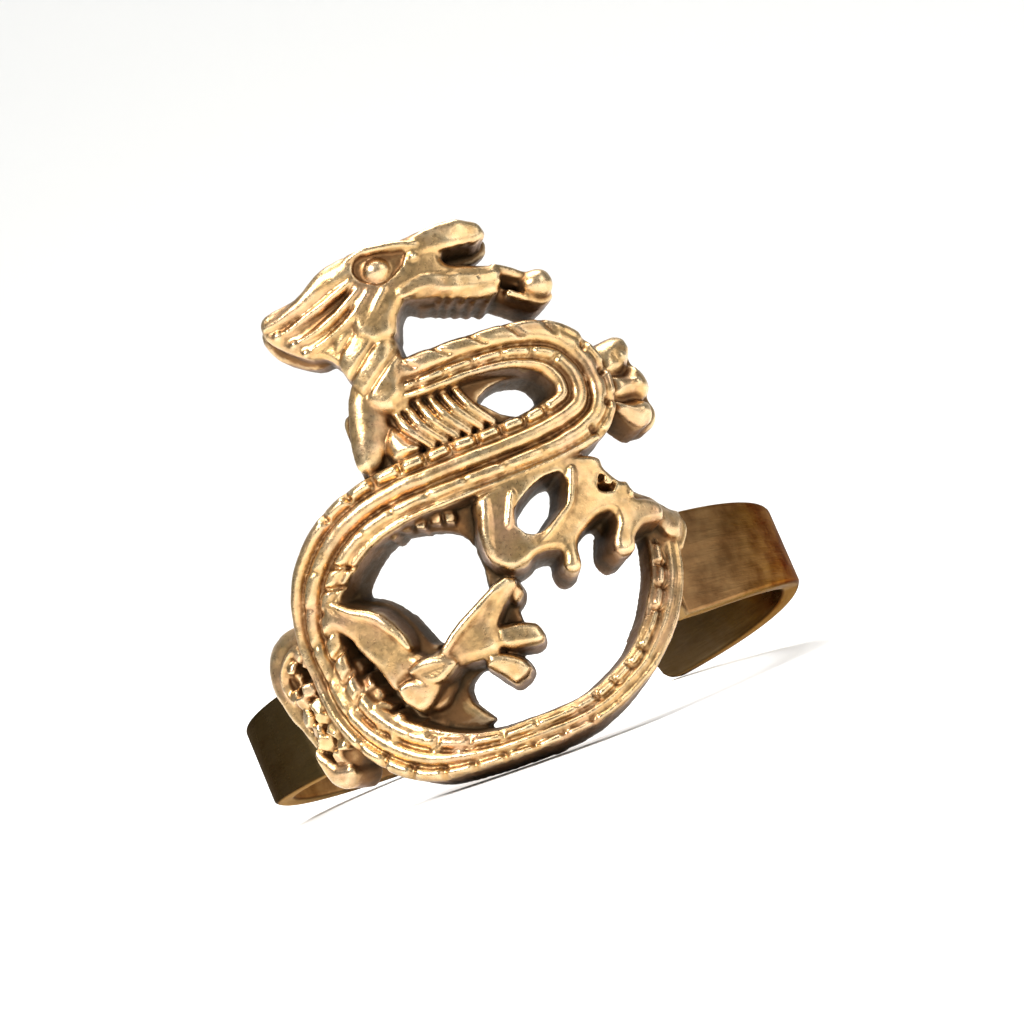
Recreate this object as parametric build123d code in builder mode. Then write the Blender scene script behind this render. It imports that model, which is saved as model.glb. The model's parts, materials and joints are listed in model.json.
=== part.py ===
"""Dragon finger ring: a pierced dragon cast in one piece, bent round the finger and soldered to a flat band.

The ring is drawn with the finger's axis upright and the dragon in front. Places on the dragon are laid
out on the unrolled finger, right for along the girth and up for along the finger. At the end the whole ring
leans back until it stands on its bottom loop and on the lower edges of the band's two arms.
"""

import os
from math import atan2, cos, degrees, radians, sin

from build123d import *

# Sizes in millimetres: the finger and the open band
finger_diameter = 18.2
band_wall = 0.75
band_width = 3.45
band_end_round = 0.7
dragon_ease = 0.2

# Sizes in millimetres: the dragon
dragon_span = 16.5
dragon_rise = 18.0
relief = 2.1
body_width = 2.0
wall_draft = 0.12
eye_length = 1.9
eye_height = 1.05
eye_depth = 0.6
eyeball_diameter = 0.85
nugget_diameter = 0.56
tooth_width = 0.28
tooth_length = 0.3

# Shares: how round a ridge is for its width, and the flatter rounding of the broad shoulder plate
ridge_roundness = 0.3
plate_roundness = 0.06

# Degrees round the finger from the front: where the band's arms end, and where they touch the floor
right_arm_end = 152
left_arm_end = 199
right_foot_turn = 148.4
left_foot_turn = 203

rib_count = 6
tooth_count = 6

bore_radius = finger_diameter / 2
band_radius = bore_radius + band_wall
girth_radius = bore_radius + 0.62 * relief
root = 0.3 * relief
root_step = 0.08 * relief

# The band's arms seen from the side
# Columns: back, a share of the band's radius; low and high, shares of its width
right_arm_edges = [
    (-0.75, -0.56, 0.43),
    (0.00, -0.42, 0.38),
    (0.90, -0.54, 0.17),
]
left_arm_edges = [
    (-0.81, -0.58, 0.37),
    (0.00, -0.41, 0.39),
    (1.00, -0.33, 0.40),
]

# Only this stretch of the band's width bears on the finger. Above and below it the dragon's back is eased off
bearing_low = -0.59
bearing_high = 0.44

# Each form is a row of cuts across it. right and up are hundredths of the dragon's span and rise, from the
# middle of the band. wide is a share of the body's width and high a share of the relief.
# Columns: right, up, wide, high
body_cuts = [
    (-6.0, 47.0, 0.55, 0.75),
    (3.6, 46.4, 0.72, 0.90),
    (13.3, 46.1, 0.72, 0.95),
    (22.4, 45.0, 0.80, 1.00),
    (29.7, 42.3, 1.00, 1.00),
    (32.9, 36.4, 1.05, 1.00),
    (31.0, 30.4, 1.07, 1.00),
    (23.0, 27.8, 1.00, 1.00),
    (12.1, 27.2, 0.97, 1.00),
    (0.0, 27.5, 0.97, 1.00),
    (-12.1, 27.5, 0.98, 1.00),
    (-21.8, 25.3, 1.02, 1.00),
    (-30.0, 20.0, 1.00, 1.00),
    (-34.8, 12.8, 0.90, 0.95),
    (-36.0, 5.0, 0.80, 0.90),
    (-34.8, -3.3, 0.80, 0.90),
    (-30.0, -10.3, 0.80, 0.90),
    (-22.4, -16.4, 0.80, 0.95),
    (-12.7, -20.8, 0.60, 0.95),
    (-1.2, -22.0, 0.55, 0.95),
    (10.3, -21.1, 0.50, 0.90),
    (20.0, -17.5, 0.50, 0.85),
    (28.5, -11.7, 0.53, 0.75),
    (37.0, -5.3, 0.62, 0.52),
    (42.1, 1.7, 0.72, 0.42),
    (42.3, 8.9, 0.70, 0.40),
]
neck_cuts = [
    (-3.3, 60.6, 1.15, 0.85),
    (-3.9, 55.6, 1.05, 0.92),
    (-3.6, 51.1, 0.95, 0.92),
    (-3.3, 46.1, 0.85, 0.90),
]
head_cuts = [
    (-7.3, 63.9, 1.10, 0.80),
    (0.0, 65.0, 1.35, 1.00),
    (6.1, 65.0, 1.25, 1.00),
    (12.1, 66.3, 0.90, 0.97),
    (17.6, 68.4, 0.58, 0.97),
    (22.4, 68.1, 0.52, 0.93),
    (25.8, 66.9, 0.30, 0.70),
]
jaw_cuts = [
    (1.8, 60.9, 0.60, 0.90),
    (8.5, 60.9, 0.55, 0.95),
    (15.2, 60.0, 0.48, 0.92),
    (21.2, 58.4, 0.50, 0.90),
    (24.8, 57.3, 0.43, 0.85),
    (28.5, 55.9, 0.45, 0.80),
    (32.1, 54.8, 0.48, 0.80),
    (34.8, 55.3, 0.30, 0.70),
]
crest_cuts = [
    (0.0, 66.1, 1.05, 0.92),
    (-7.6, 63.9, 1.15, 0.90),
    (-13.9, 62.8, 0.97, 0.85),
    (-20.3, 63.9, 0.65, 0.70),
]
flank_cuts = [
    (-10.9, 31.7, 0.70, 0.85),
    (-11.2, 37.8, 0.68, 0.95),
    (-10.6, 42.8, 0.55, 0.90),
    (-8.5, 45.6, 0.40, 0.80),
]
rib_floor_cuts = [
    (-8.5, 37.8, 1.10, 0.40),
    (3.6, 38.1, 1.10, 0.40),
    (11.5, 37.2, 0.95, 0.40),
    (16.4, 33.9, 0.35, 0.40),
]
first_rib_cuts = [
    (-3.6, 42.2, 0.15, 0.70),
    (-2.4, 38.0, 0.15, 0.85),
    (0.6, 33.6, 0.15, 0.80),
]
rib_spacing = 2.5
thigh_cuts = [
    (-30.0, 14.2, 0.45, 0.85),
    (-25.5, 8.3, 0.65, 1.00),
    (-21.8, 2.2, 0.75, 1.05),
    (-19.4, -3.9, 0.80, 1.00),
    (-17.9, -8.9, 0.45, 0.85),
]
shin_cuts = [
    (-21.8, -5.6, 0.60, 0.90),
    (-14.5, -3.1, 0.58, 0.90),
    (-7.3, -1.1, 0.65, 0.90),
    (-1.2, 1.7, 0.55, 0.85),
    (4.5, 4.2, 0.30, 0.70),
]
knee_web_cuts = [
    (-15.8, -7.8, 0.60, 0.60),
    (-13.9, -13.3, 0.60, 0.55),
    (-12.7, -20.0, 0.75, 0.60),
]
upper_hind_toe_cuts = [
    (-3.6, -2.8, 0.35, 0.75),
    (1.2, -4.2, 0.30, 0.72),
    (5.8, -4.7, 0.25, 0.60),
]
lower_hind_toe_cuts = [
    (-5.5, -3.3, 0.35, 0.75),
    (-2.7, -6.7, 0.30, 0.72),
    (-0.6, -9.7, 0.25, 0.60),
]
foreleg_cuts = [
    (7.0, 23.9, 0.95, 0.90),
    (6.1, 17.8, 0.75, 0.95),
    (5.8, 12.8, 0.66, 0.98),
    (8.2, 9.4, 0.55, 0.95),
    (13.3, 9.7, 0.40, 0.90),
    (18.8, 12.2, 0.45, 0.90),
    (24.2, 15.3, 0.60, 0.90),
    (29.1, 19.4, 0.60, 0.88),
    (30.6, 24.5, 0.60, 0.85),
]
left_fore_toe_cuts = [
    (17.6, 11.7, 0.34, 0.80),
    (17.6, 7.2, 0.30, 0.75),
    (17.4, 4.0, 0.26, 0.60),
]
right_fore_toe_cuts = [
    (31.2, 12.8, 0.45, 0.80),
    (30.6, 8.0, 0.42, 0.78),
    (30.0, 4.4, 0.34, 0.62),
]
hip_web_cuts = [
    (27.6, 21.7, 0.45, 0.70),
    (29.1, 16.1, 0.55, 0.75),
    (32.1, 13.3, 0.70, 0.75),
    (36.4, 10.8, 0.55, 0.66),
    (41.2, 8.3, 0.55, 0.50),
]
pit_floor_cuts = [
    (-29.7, 10.6, 0.50, 0.35),
    (-28.5, 2.8, 0.50, 0.35),
    (-26.7, -5.6, 0.50, 0.40),
    (-21.2, -12.8, 0.50, 0.50),
]
shoulder_cuts = [
    (-37.0, 0.4, 2.20, 0.52),
    (-43.4, 0.0, 2.30, 0.57),
    (-47.9, 0.6, 1.60, 0.53),
    (-49.6, 2.0, 0.90, 0.50),
]
shoulder_rim_cuts = [
    (-39.4, 13.9, 0.28, 0.75),
    (-44.8, 13.6, 0.28, 0.75),
    (-48.5, 9.4, 0.28, 0.72),
    (-49.4, 3.3, 0.28, 0.70),
    (-48.5, -3.9, 0.28, 0.70),
    (-47.3, -10.0, 0.28, 0.70),
    (-44.5, -13.9, 0.28, 0.70),
    (-40.0, -13.3, 0.28, 0.70),
]
upper_claw_cuts = [
    (36.4, 37.2, 0.45, 0.80),
    (43.0, 39.7, 0.50, 0.80),
    (48.5, 41.1, 0.46, 0.72),
    (51.2, 41.7, 0.24, 0.55),
]
middle_claw_cuts = [
    (36.4, 33.9, 0.45, 0.85),
    (43.6, 33.9, 0.50, 0.85),
    (49.7, 33.6, 0.48, 0.75),
    (52.7, 33.3, 0.25, 0.55),
]
lower_claw_cuts = [
    (37.0, 31.4, 0.40, 0.80),
    (43.0, 30.0, 0.42, 0.80),
    (48.2, 28.0, 0.42, 0.74),
    (50.6, 26.9, 0.26, 0.60),
]

# Nuggets in the shoulder plate. Columns: right, up, as above
nugget_spots = [
    (-45.6, 7.0),
    (-41.2, 8.6),
    (-45.6, 2.6),
    (-41.2, 4.2),
    (-45.6, -1.8),
    (-41.2, -0.2),
    (-45.6, -6.2),
    (-41.2, -4.6),
    (-41.2, -9.0),
]
nugget_root = 0.35
nugget_height = 0.78
nugget_taper = 15

# The eye, and the row of small teeth under the lower jaw. Right and up, as above
eye_spot = (4.2, 67.6)
first_tooth_spot = (11.5, 59.3)
tooth_step = (2.1, -0.75)
tooth_height = 0.75
tooth_taper = 3


def unrolled(right, up):
    """Millimetres along the girth and along the finger, from hundredths of the dragon's span and rise."""
    return right / 100 * dragon_span, up / 100 * dragon_rise


def outward(along_girth):
    """Direction straight out from the finger at a place along the girth."""
    turn = along_girth / girth_radius
    return Vector(sin(turn), -cos(turn), 0)


def cut_plane(along_girth, along_finger, heading):
    """Plane square to a form that crosses the finger's surface in the given heading, its y straight out."""
    out = outward(along_girth)
    fingerward = Vector(0, 0, 1)
    girthward = fingerward.cross(out)
    ahead = girthward * cos(radians(heading)) + fingerward * sin(radians(heading))
    place = out * bore_radius + fingerward * along_finger
    return Plane(origin=place, x_dir=out.cross(ahead), z_dir=ahead)


def face_plane(right, up, height):
    """Plane that lies flat over the finger's surface at the given height, its x along the girth."""
    along_girth, along_finger = unrolled(right, up)
    out = outward(along_girth)
    place = out * (bore_radius + height) + Vector(0, 0, along_finger)
    return Plane(origin=place, x_dir=Vector(0, 0, 1).cross(out), z_dir=out)


def headings(spots):
    """Heading of a smooth path at each of its spots, halfway between the runs before and after it."""
    runs = [Vector(b[0] - a[0], b[1] - a[1]).normalized() for a, b in zip(spots, spots[1:])]
    turned = [a + b for a, b in zip([runs[0]] + runs, runs + [runs[-1]])]
    return [degrees(atan2(turn.Y, turn.X)) for turn in turned]


def draw_cut(place, width, height, depth, ridges, roundness):
    """One cut: a foot sunk to a depth under the finger's surface, drafted walls, ridges side by side."""
    half = width / 2
    edge = height - roundness * width / ridges
    with BuildSketch(place) as cut:
        with BuildLine():
            Polyline((half, edge), (half + wall_draft, -depth), (-half - wall_draft, -depth), (-half, edge))
            for ridge in range(ridges):
                left = -half + width * ridge / ridges
                right = left + width / ridges
                ThreePointArc((left, edge), ((left + right) / 2, height), (right, edge))
        make_face()
    return cut.sketch


def drawn(cuts, layer, ridges=1, roundness=ridge_roundness):
    """Sketches of a row of cuts. Forms that cross lie in different layers, each with a deeper foot."""
    spots = [unrolled(right, up) for right, up, wide, high in cuts]
    depth = root + layer * root_step
    return [
        draw_cut(cut_plane(*spot, heading), wide * body_width, high * relief, depth, ridges, roundness)
        for spot, heading, (right, up, wide, high) in zip(spots, headings(spots), cuts)
    ]


def shifted(cuts, right, up):
    """The same row of cuts, moved over the unrolled finger."""
    return [(cut[0] + right, cut[1] + up, cut[2], cut[3]) for cut in cuts]


def round_band(turn, up=0.0):
    """Point on the band's outside, at a turn in degrees from the front."""
    return Vector(band_radius * sin(radians(turn)), -band_radius * cos(radians(turn)), up)


def band_side(edges):
    """Side view of one arm of the band, between its lower and upper edges."""
    low = [(back * band_radius, low * band_width) for back, low, high in edges]
    high = [(back * band_radius, high * band_width) for back, low, high in edges]
    with BuildSketch(Plane.YZ) as side:
        with BuildLine():
            Polyline(*low, *reversed(high), close=True)
        make_face()
    return side.sketch


def band_round():
    """The band seen along the finger: a ring, thick inwards, with the gap between its arms at the back."""
    gap_start = 2 * round_band(right_arm_end)
    gap_stop = 2 * round_band(left_arm_end)
    with BuildSketch(Plane.XY.offset(-band_width)) as ring:
        Circle(band_radius)
        Circle(bore_radius - relief, mode=Mode.SUBTRACT)
        with BuildLine():
            Polyline((0, 0), (gap_start.X, gap_start.Y), (gap_stop.X, gap_stop.Y), close=True)
        make_face(mode=Mode.SUBTRACT)
    return ring.sketch


def rounded_end(arm):
    """The two corners of an arm's end."""
    straight = arm.edges().filter_by(GeomType.LINE)
    across = straight.filter_by(lambda edge: abs(edge.tangent_at(0).Z) < 0.5)
    return across.sort_by(Axis.Y)[-2:]


def arm_foot(edges, turn):
    """Point on an arm's lower outer edge, behind the finger's side, at a turn in degrees from the front."""
    side_back, side_low, side_high = edges[1]
    end_back, end_low, end_high = edges[2]
    along = (-cos(radians(turn)) - side_back) / (end_back - side_back)
    return round_band(turn, (side_low + along * (end_low - side_low)) * band_width)


with BuildPart() as right_arm:
    extrude(to_extrude=band_side(right_arm_edges), amount=2 * band_radius)
    extrude(to_extrude=band_round(), amount=2 * band_width, mode=Mode.INTERSECT)
    fillet(rounded_end(right_arm), radius=band_end_round)

with BuildPart() as left_arm:
    extrude(to_extrude=band_side(left_arm_edges), amount=-2 * band_radius)
    extrude(to_extrude=band_round(), amount=2 * band_width, mode=Mode.INTERSECT)
    fillet(rounded_end(left_arm), radius=band_end_round)

with BuildPart() as body:
    loft(sections=drawn(body_cuts, 0, ridges=3), ruled=True)

with BuildPart() as head:
    loft(sections=drawn(head_cuts, 2), ruled=True)
    loft(sections=drawn(neck_cuts, 1), ruled=True)
    loft(sections=drawn(jaw_cuts, 3), ruled=True)
    loft(sections=drawn(crest_cuts, 4, ridges=5), ruled=True)
    with BuildSketch(face_plane(*eye_spot, relief)):
        with BuildLine():
            ThreePointArc((-eye_length / 2, 0), (0, eye_height / 2), (eye_length / 2, 0))
            ThreePointArc((-eye_length / 2, 0), (0, -eye_height / 2), (eye_length / 2, 0))
        make_face()
    extrude(amount=eye_depth, both=True, mode=Mode.SUBTRACT)
    with Locations(face_plane(*eye_spot, relief - eye_depth)):
        Sphere(radius=eyeball_diameter / 2)

with BuildPart() as teeth:
    for tooth in range(tooth_count):
        right = first_tooth_spot[0] + tooth * tooth_step[0]
        up = first_tooth_spot[1] + tooth * tooth_step[1]
        with BuildSketch(face_plane(right, up, -root)):
            Rectangle(tooth_width, 2 * tooth_length)
        extrude(amount=root + tooth_height * relief, taper=tooth_taper)

with BuildPart() as flank:
    loft(sections=drawn(rib_floor_cuts, 1, roundness=plate_roundness), ruled=True)
    loft(sections=drawn(flank_cuts, 2), ruled=True)

with BuildPart() as ribs:
    for rib in range(rib_count):
        loft(sections=drawn(shifted(first_rib_cuts, rib * rib_spacing, 0), 3), ruled=True)

with BuildPart() as hind_leg:
    loft(sections=drawn(thigh_cuts, 1), ruled=True)
    loft(sections=drawn(shin_cuts, 2), ruled=True)
    loft(sections=drawn(knee_web_cuts, 3), ruled=True)
    loft(sections=drawn(upper_hind_toe_cuts, 4), ruled=True)
    loft(sections=drawn(lower_hind_toe_cuts, 5), ruled=True)

with BuildPart() as foreleg:
    loft(sections=drawn(foreleg_cuts, 1), ruled=True)
    loft(sections=drawn(left_fore_toe_cuts, 2), ruled=True)
    loft(sections=drawn(right_fore_toe_cuts, 2), ruled=True)
    loft(sections=drawn(hip_web_cuts, 3), ruled=True)

with BuildPart() as shoulder:
    loft(sections=drawn(shoulder_cuts, 2, roundness=plate_roundness), ruled=True)
    loft(sections=drawn(shoulder_rim_cuts, 3), ruled=True)
    loft(sections=drawn(pit_floor_cuts, 4, roundness=plate_roundness), ruled=True)
    for right, up in nugget_spots:
        with BuildSketch(face_plane(right, up, nugget_root * relief)):
            RegularPolygon(radius=nugget_diameter / 2, side_count=7)
        extrude(amount=(nugget_height - nugget_root) * relief, taper=nugget_taper)

with BuildPart() as claw:
    loft(sections=drawn(upper_claw_cuts, 1), ruled=True)
    loft(sections=drawn(middle_claw_cuts, 2), ruled=True)
    loft(sections=drawn(lower_claw_cuts, 3), ruled=True)

pieces = (right_arm, left_arm, body, head, teeth, flank, ribs, hind_leg, foreleg, shoulder, claw)
with BuildPart() as casting:
    add([piece.part for piece in pieces])
    with BuildSketch(Plane.XY.offset(-dragon_rise)):
        Circle(bore_radius)
    extrude(amount=2 * dragon_rise, mode=Mode.SUBTRACT)
    with BuildSketch(Plane.XY.offset(bearing_high * band_width)):
        Circle(bore_radius + dragon_ease)
    extrude(amount=dragon_rise, mode=Mode.SUBTRACT)
    with BuildSketch(Plane.XY.offset(bearing_low * band_width)):
        Circle(bore_radius + dragon_ease)
    extrude(amount=-dragon_rise, mode=Mode.SUBTRACT)

# The ring stands on the bottom loop's inner edge and on the lower edges of the band's two arms
front_foot = Vector(0, -bore_radius - dragon_ease, casting.part.bounding_box().min.Z)
right_foot = arm_foot(right_arm_edges, right_foot_turn)
left_foot = arm_foot(left_arm_edges, left_foot_turn)
floor_up = (right_foot - front_foot).cross(left_foot - front_foot)
floor_right = Vector(0, 1, 0).cross(floor_up)
floor = Plane(origin=front_foot, x_dir=floor_right, z_dir=floor_up)
standing = floor.to_local_coords(casting.part)

# The origin is on the floor, under the middle of the ring's outer box
box = standing.bounding_box()
middle = Vector(-box.center().X, -box.center().Y, -box.min.Z)
with BuildPart() as dragon_ring:
    add(standing.moved(Location(middle)))
dragon_ring.part.label = "dragon_ring"

if __name__ == "__main__":
    os.makedirs("parts", exist_ok=True)
    export_step(dragon_ring.part, "parts/dragon_ring.step")
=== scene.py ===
"""Visible metal of a pierced cast dragon ring with a flat open band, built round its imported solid.

The dragon is carved as a relief over the unrolled finger. right runs along the girth and up along the
finger, both in millimetres from the middle of the band, and every height is measured out from the bore.
The carved relief is then wrapped round the finger, cast into one closed skin and laid in the ring's rest.
"""

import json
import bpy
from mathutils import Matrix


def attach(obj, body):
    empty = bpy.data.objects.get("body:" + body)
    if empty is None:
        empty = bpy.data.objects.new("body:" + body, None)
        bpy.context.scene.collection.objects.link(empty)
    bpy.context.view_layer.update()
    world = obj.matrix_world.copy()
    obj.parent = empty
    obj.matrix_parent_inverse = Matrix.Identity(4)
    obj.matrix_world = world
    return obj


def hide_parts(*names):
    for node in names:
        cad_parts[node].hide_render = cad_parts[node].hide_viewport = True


bl_info = {
    "name": "Cast Dragon Ring",
    "version": (1, 0, 0),
    "blender": (4, 5, 0),
    "location": "View3D > Sidebar > Dragon Ring",
    "description": "Builds the worn brass casting and the flat band of a dragon ring",
    "category": "Object",
}

from math import cos, pi, radians, sin, sqrt

import bpy
import numpy as np
from bpy.props import FloatProperty, PointerProperty, StringProperty
from mathutils import Matrix, Vector, noise

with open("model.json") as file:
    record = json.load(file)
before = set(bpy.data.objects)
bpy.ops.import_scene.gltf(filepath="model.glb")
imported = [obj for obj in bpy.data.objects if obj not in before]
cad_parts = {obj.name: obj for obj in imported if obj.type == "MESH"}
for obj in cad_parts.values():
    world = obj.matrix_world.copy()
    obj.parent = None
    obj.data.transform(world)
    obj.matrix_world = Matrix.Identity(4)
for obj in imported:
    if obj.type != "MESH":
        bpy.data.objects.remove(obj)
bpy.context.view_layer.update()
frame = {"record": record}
finger = next(mount for mount in frame["record"]["mounts"] if mount["name"] == "finger_hole")

MM = 0.001
BODY = "root"
NODE = "dragon_ring"

# The dragon's drawing in millimetres: the radius it is drawn on, and the sizes that its shares refer to
GIRTH_RADIUS = 10.402
SPAN = 16.5
RISE = 18.0
BODY_WIDTH = 2.0
RELIEF = 2.1

# In millimetres: the stretch of the finger that the dragon's back bears on, and how far the rest stands off
BEARING_LOW = -2.036
BEARING_HIGH = 1.518
BACK_EASE = 0.2

# The photo's view: the degrees that the finger's axis leans back, the distance and the point looked at in
# millimetres, and the cosine and sine of the ring's roll to the left
LOOK_TILT = 9.8
LOOK_DISTANCE = 130.0
LOOK_AT = (1.634, 4.796)
LOOK_ROLL = (0.9195, 0.393)
LENS = 131.6
SENSOR_WIDTH = 36

# In millimetres: the drawing's edges, and the steps that it is carved and cast with
DRAWING = (-9.9, 9.3, -4.9, 13.5)
CARVE_STEP = 0.035
CAST_STEP = 0.052
MOST_TRIANGLES = 190000

# Carving, in millimetres: a wall's draft, the thinnest metal, the lowest floor of a groove, and how soft
# grooves and notches are. Then the steps that a route and an outline take from one row to the next, and how far
# round an outline it is drawn.
DRAFT_SLOPE = 7.0
DRAFT_REACH = 0.3
THINNEST = 0.3
GROOVE_FLOOR = 0.3
GROOVE_WIDTH = 0.085
NOTCH_WIDTH = 0.1
NOTCH_EDGE = 0.05
ROUTE_STEPS = 8
OUTLINE_STEPS = 5
OUTLINE_MARGIN = 0.2

# How far the body's and the neck's backs fall to their sides, the share of the width that stays flat, how fast
# notches fade at their ends, and the neck's slanted rings: their depth, spacing, slant and width
BODY_FALL = 0.42
BODY_FLAT = 0.62
NECK_FALL = 0.5
NECK_FLAT = 0.3
NOTCH_FADE = 4
NECK_RINGS = (0.15, 0.85, 0.6, 0.11)
RIB_COUNT = 6
RIB_SPACING = 2.5

# How round beads are. Nuggets: sides and their unevenness, share that is flat on top, slope of the facets, tilt
# of the top, and the turn from each nugget to the next
BEAD_ROUND = 1.1
NUGGET_SIDES = 5
NUGGET_UNEVEN = 0.25
NUGGET_TOP = 0.68
NUGGET_SLOPE = 2.2
NUGGET_TILT = 0.5
NUGGET_TURN = 2.3

# The small teeth. Columns: wide, high
TOOTH_TOP = (0.18, 1.75)
TOOTH_FOOT = (0.17, 1.45)

# The skin's evening, and the casting's grain outside the bore. Columns: size, depth, seed
EVEN_ROUNDS = 2
EVEN_SHARE = 0.5
GRAINS = [(0.8, 0.030, 1.0), (0.34, 0.014, 2.0)]
BORE_CLEAR = 0.08
BORE_BLEND = 0.15

# Tarnish and wear, with painted shade on every wall and a painted highlight on convex places facing out:
# how far round a place its brim is sought, the depth below the brim that is fully sunk, the rounds of evening
# that find small and broad hollows and their limits, and how much each of them counts, the walls' painted
# shade among them
BRIM_REACH = 0.42
SUNK_DEPTH = 0.9
MOST_SUNK = 1.3
NEAR_ROUNDS = 6
BROAD_ROUNDS = 40
NEAR_LIMITS = (-0.02, 0.06)
BROAD_LIMITS = (-0.1, 0.25)
SUNK_COUNTS = 0.58
WALL_SHADE_COUNTS = 0.26
NEAR_COUNTS = 7.0
BROAD_COUNTS = 2.2
FACES_BORE = -0.6
BORE_RECESS = 0.15
NEAR_WEAR_AND_HIGHLIGHT = 9.0
BROAD_WEAR_AND_HIGHLIGHT = 1.6

# The band's arms: where each starts, in degrees from the front, how far its inside clears the bore and how
# round its edges are in millimetres, and how many rings and edge steps it has
RIGHT_ARM_START = 34.5
LEFT_ARM_START = 323
ARM_CLEAR = 0.01
ARM_EDGE = 0.16
ARM_RINGS = 150
ARM_EDGE_STEPS = 6

# The stage in metres: the floor's front edge, the radius of its bend and the steps along it, its height and
# half its width
FLOOR_FRONT = -0.6
FLOOR_BEND = 0.25
BEND_STEPS = 16
FLOOR_HIGH = 1.2
FLOOR_SIDE = 1.2
AIR_COLOUR = (0.92, 0.96, 1.0, 1)
AIR_STRENGTH = 0.34
LAMPS_AIM = (0, -0.006, 0.009)
# Columns: name, place, size, power
LAMPS = [
    ("key", (-0.16, -0.20, 0.24), 0.13, 1.60),
    ("fill", (0.26, -0.20, 0.14), 0.20, 0.30),
    ("top", (0.02, 0.08, 0.34), 0.26, 1.60),
]

# Nodes of the materials. A range's sockets 0 to 4 are its value, from low, from high, to low and to high. A mix
# of colours has its share at 0, its colours at 6 and 7, and its result at output 2.
ATTRIBUTE, NOISE, MAPPING = "ShaderNodeAttribute", "ShaderNodeTexNoise", "ShaderNodeMapping"
RANGE, MATH, MIX = "ShaderNodeMapRange", "ShaderNodeMath", "ShaderNodeMix"
MIXED_COLOUR = 2

# Rows of cuts across each form, as in the solid. right and up are hundredths of the span and the rise. wide
# is a share of the body's width and high a share of the relief.
# Columns: right, up, wide, high
BODY_CUTS = [
    (-6, 47, 0.55, 0.75), (3.6, 46.4, 0.72, 0.9), (13.3, 46.1, 0.72, 0.95), (22.4, 45, 0.8, 1),
    (29.7, 42.3, 1, 1), (32.9, 36.4, 1.05, 1), (31, 30.4, 1.07, 1), (23, 27.8, 1, 1), (12.1, 27.2, 0.97, 1),
    (0, 27.5, 0.97, 1), (-12.1, 27.5, 0.98, 1), (-21.8, 25.3, 1.02, 1), (-30, 20, 1, 1),
    (-34.8, 12.8, 0.9, 0.95), (-36, 5, 0.8, 0.9), (-35, -3.5, 0.84, 0.9), (-30.5, -10.9, 0.88, 0.92),
    (-23, -17, 0.88, 0.95), (-12.9, -20.3, 0.6, 0.93), (-1.2, -21.5, 0.54, 0.93), (10.3, -20.9, 0.52, 0.86),
    (21.2, -16.9, 0.52, 0.74), (28.2, -12.2, 0.56, 0.62), (33, -7.8, 0.62, 0.54), (37, -3, 0.66, 0.47),
    (39.4, 1.9, 0.68, 0.43), (40.6, 6.5, 0.64, 0.41)
]
NECK_CUTS = [
    (-3.3, 60.6, 1.15, 0.8), (-3.9, 55.6, 1.05, 0.88), (-3.6, 51.1, 0.95, 0.9), (-3.3, 46.1, 0.85, 0.88)
]
RIB_FLOOR_CUTS = [
    (-8.5, 37.8, 1.1, 0.4), (3.6, 38.1, 1.1, 0.4), (11.5, 37.2, 0.95, 0.4), (16.4, 33.9, 0.35, 0.4)
]
FIRST_RIB_CUTS = [
    (-3.6, 42.2, 0.14, 0.7), (-2.4, 38, 0.15, 0.85), (0.6, 33.6, 0.14, 0.8)
]
PIT_FLOOR_CUTS = [
    (-29.7, 10.6, 0.5, 0.35), (-28.5, 2.8, 0.5, 0.35), (-26.7, -5.6, 0.5, 0.4), (-21.2, -12.8, 0.5, 0.5)
]

# Grooves along the body, from its neck end to its tail. Columns: row of the body's cuts, side as a share of
# the half width, depth in millimetres
BODY_GROOVES = [
    [(0, -0.53, 0.28), (5, -0.53, 0.3), (8, -0.54, 0.36), (12, -0.45, 0.34), (15, -0.4, 0.32),
     (20, -0.45, 0.2), (26, -0.5, 0.06)],
    [(0, -0.05, 0.32), (5, 0.06, 0.34), (8, 0.13, 0.4), (12, 0.2, 0.38), (15, 0.25, 0.36), (20, 0.15, 0.26),
     (26, 0.15, 0.2)],
    [(0, 0.8, 0), (4, 0.62, 0.06), (6, 0.7, 0.26), (9, 0.72, 0.28), (12, 0.76, 0.2), (14, 0.8, 0)],
    [(15, 0.85, 0), (17, 0.76, 0.24), (20, 0.76, 0.26), (24, 0.74, 0.16), (26, 0.74, 0.08)],
]

# Notches cut across one strand of the body. Columns: first row, last row, lower side, upper side as shares
# of the half width, pitch, depth, slant
BODY_NOTCHES = [
    (0.3, 4, 0.25, 1, 1.15, 0.14, 0.9), (0.3, 4.6, -0.5, -0.08, 0.95, 0.14, 0),
    (4, 6.6, 0.45, 1, 0.72, 0.22, 0.3), (6.6, 11.2, -1, -0.57, 0.84, 0.28, 0),
    (6.6, 11.2, 0.18, 0.68, 1.25, 0.06, 0.4), (11.2, 15.5, 0.25, 1, 0.86, 0.22, 0.6),
    (11.2, 15.5, -0.42, 0.2, 1.2, 0.05, 0.4), (15.5, 20.4, -1, -0.38, 0.95, 0.16, 0.2),
    (16.5, 19.6, 0.32, 0.72, 1.1, 0.14, 0), (19.6, 22, 0.15, 0.74, 0.8, 0.2, 0),
    (22, 25.6, 0.1, 0.74, 0.9, 0.2, 0)
]

# The rest is read from the front on the girth, in millimetres.

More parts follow.
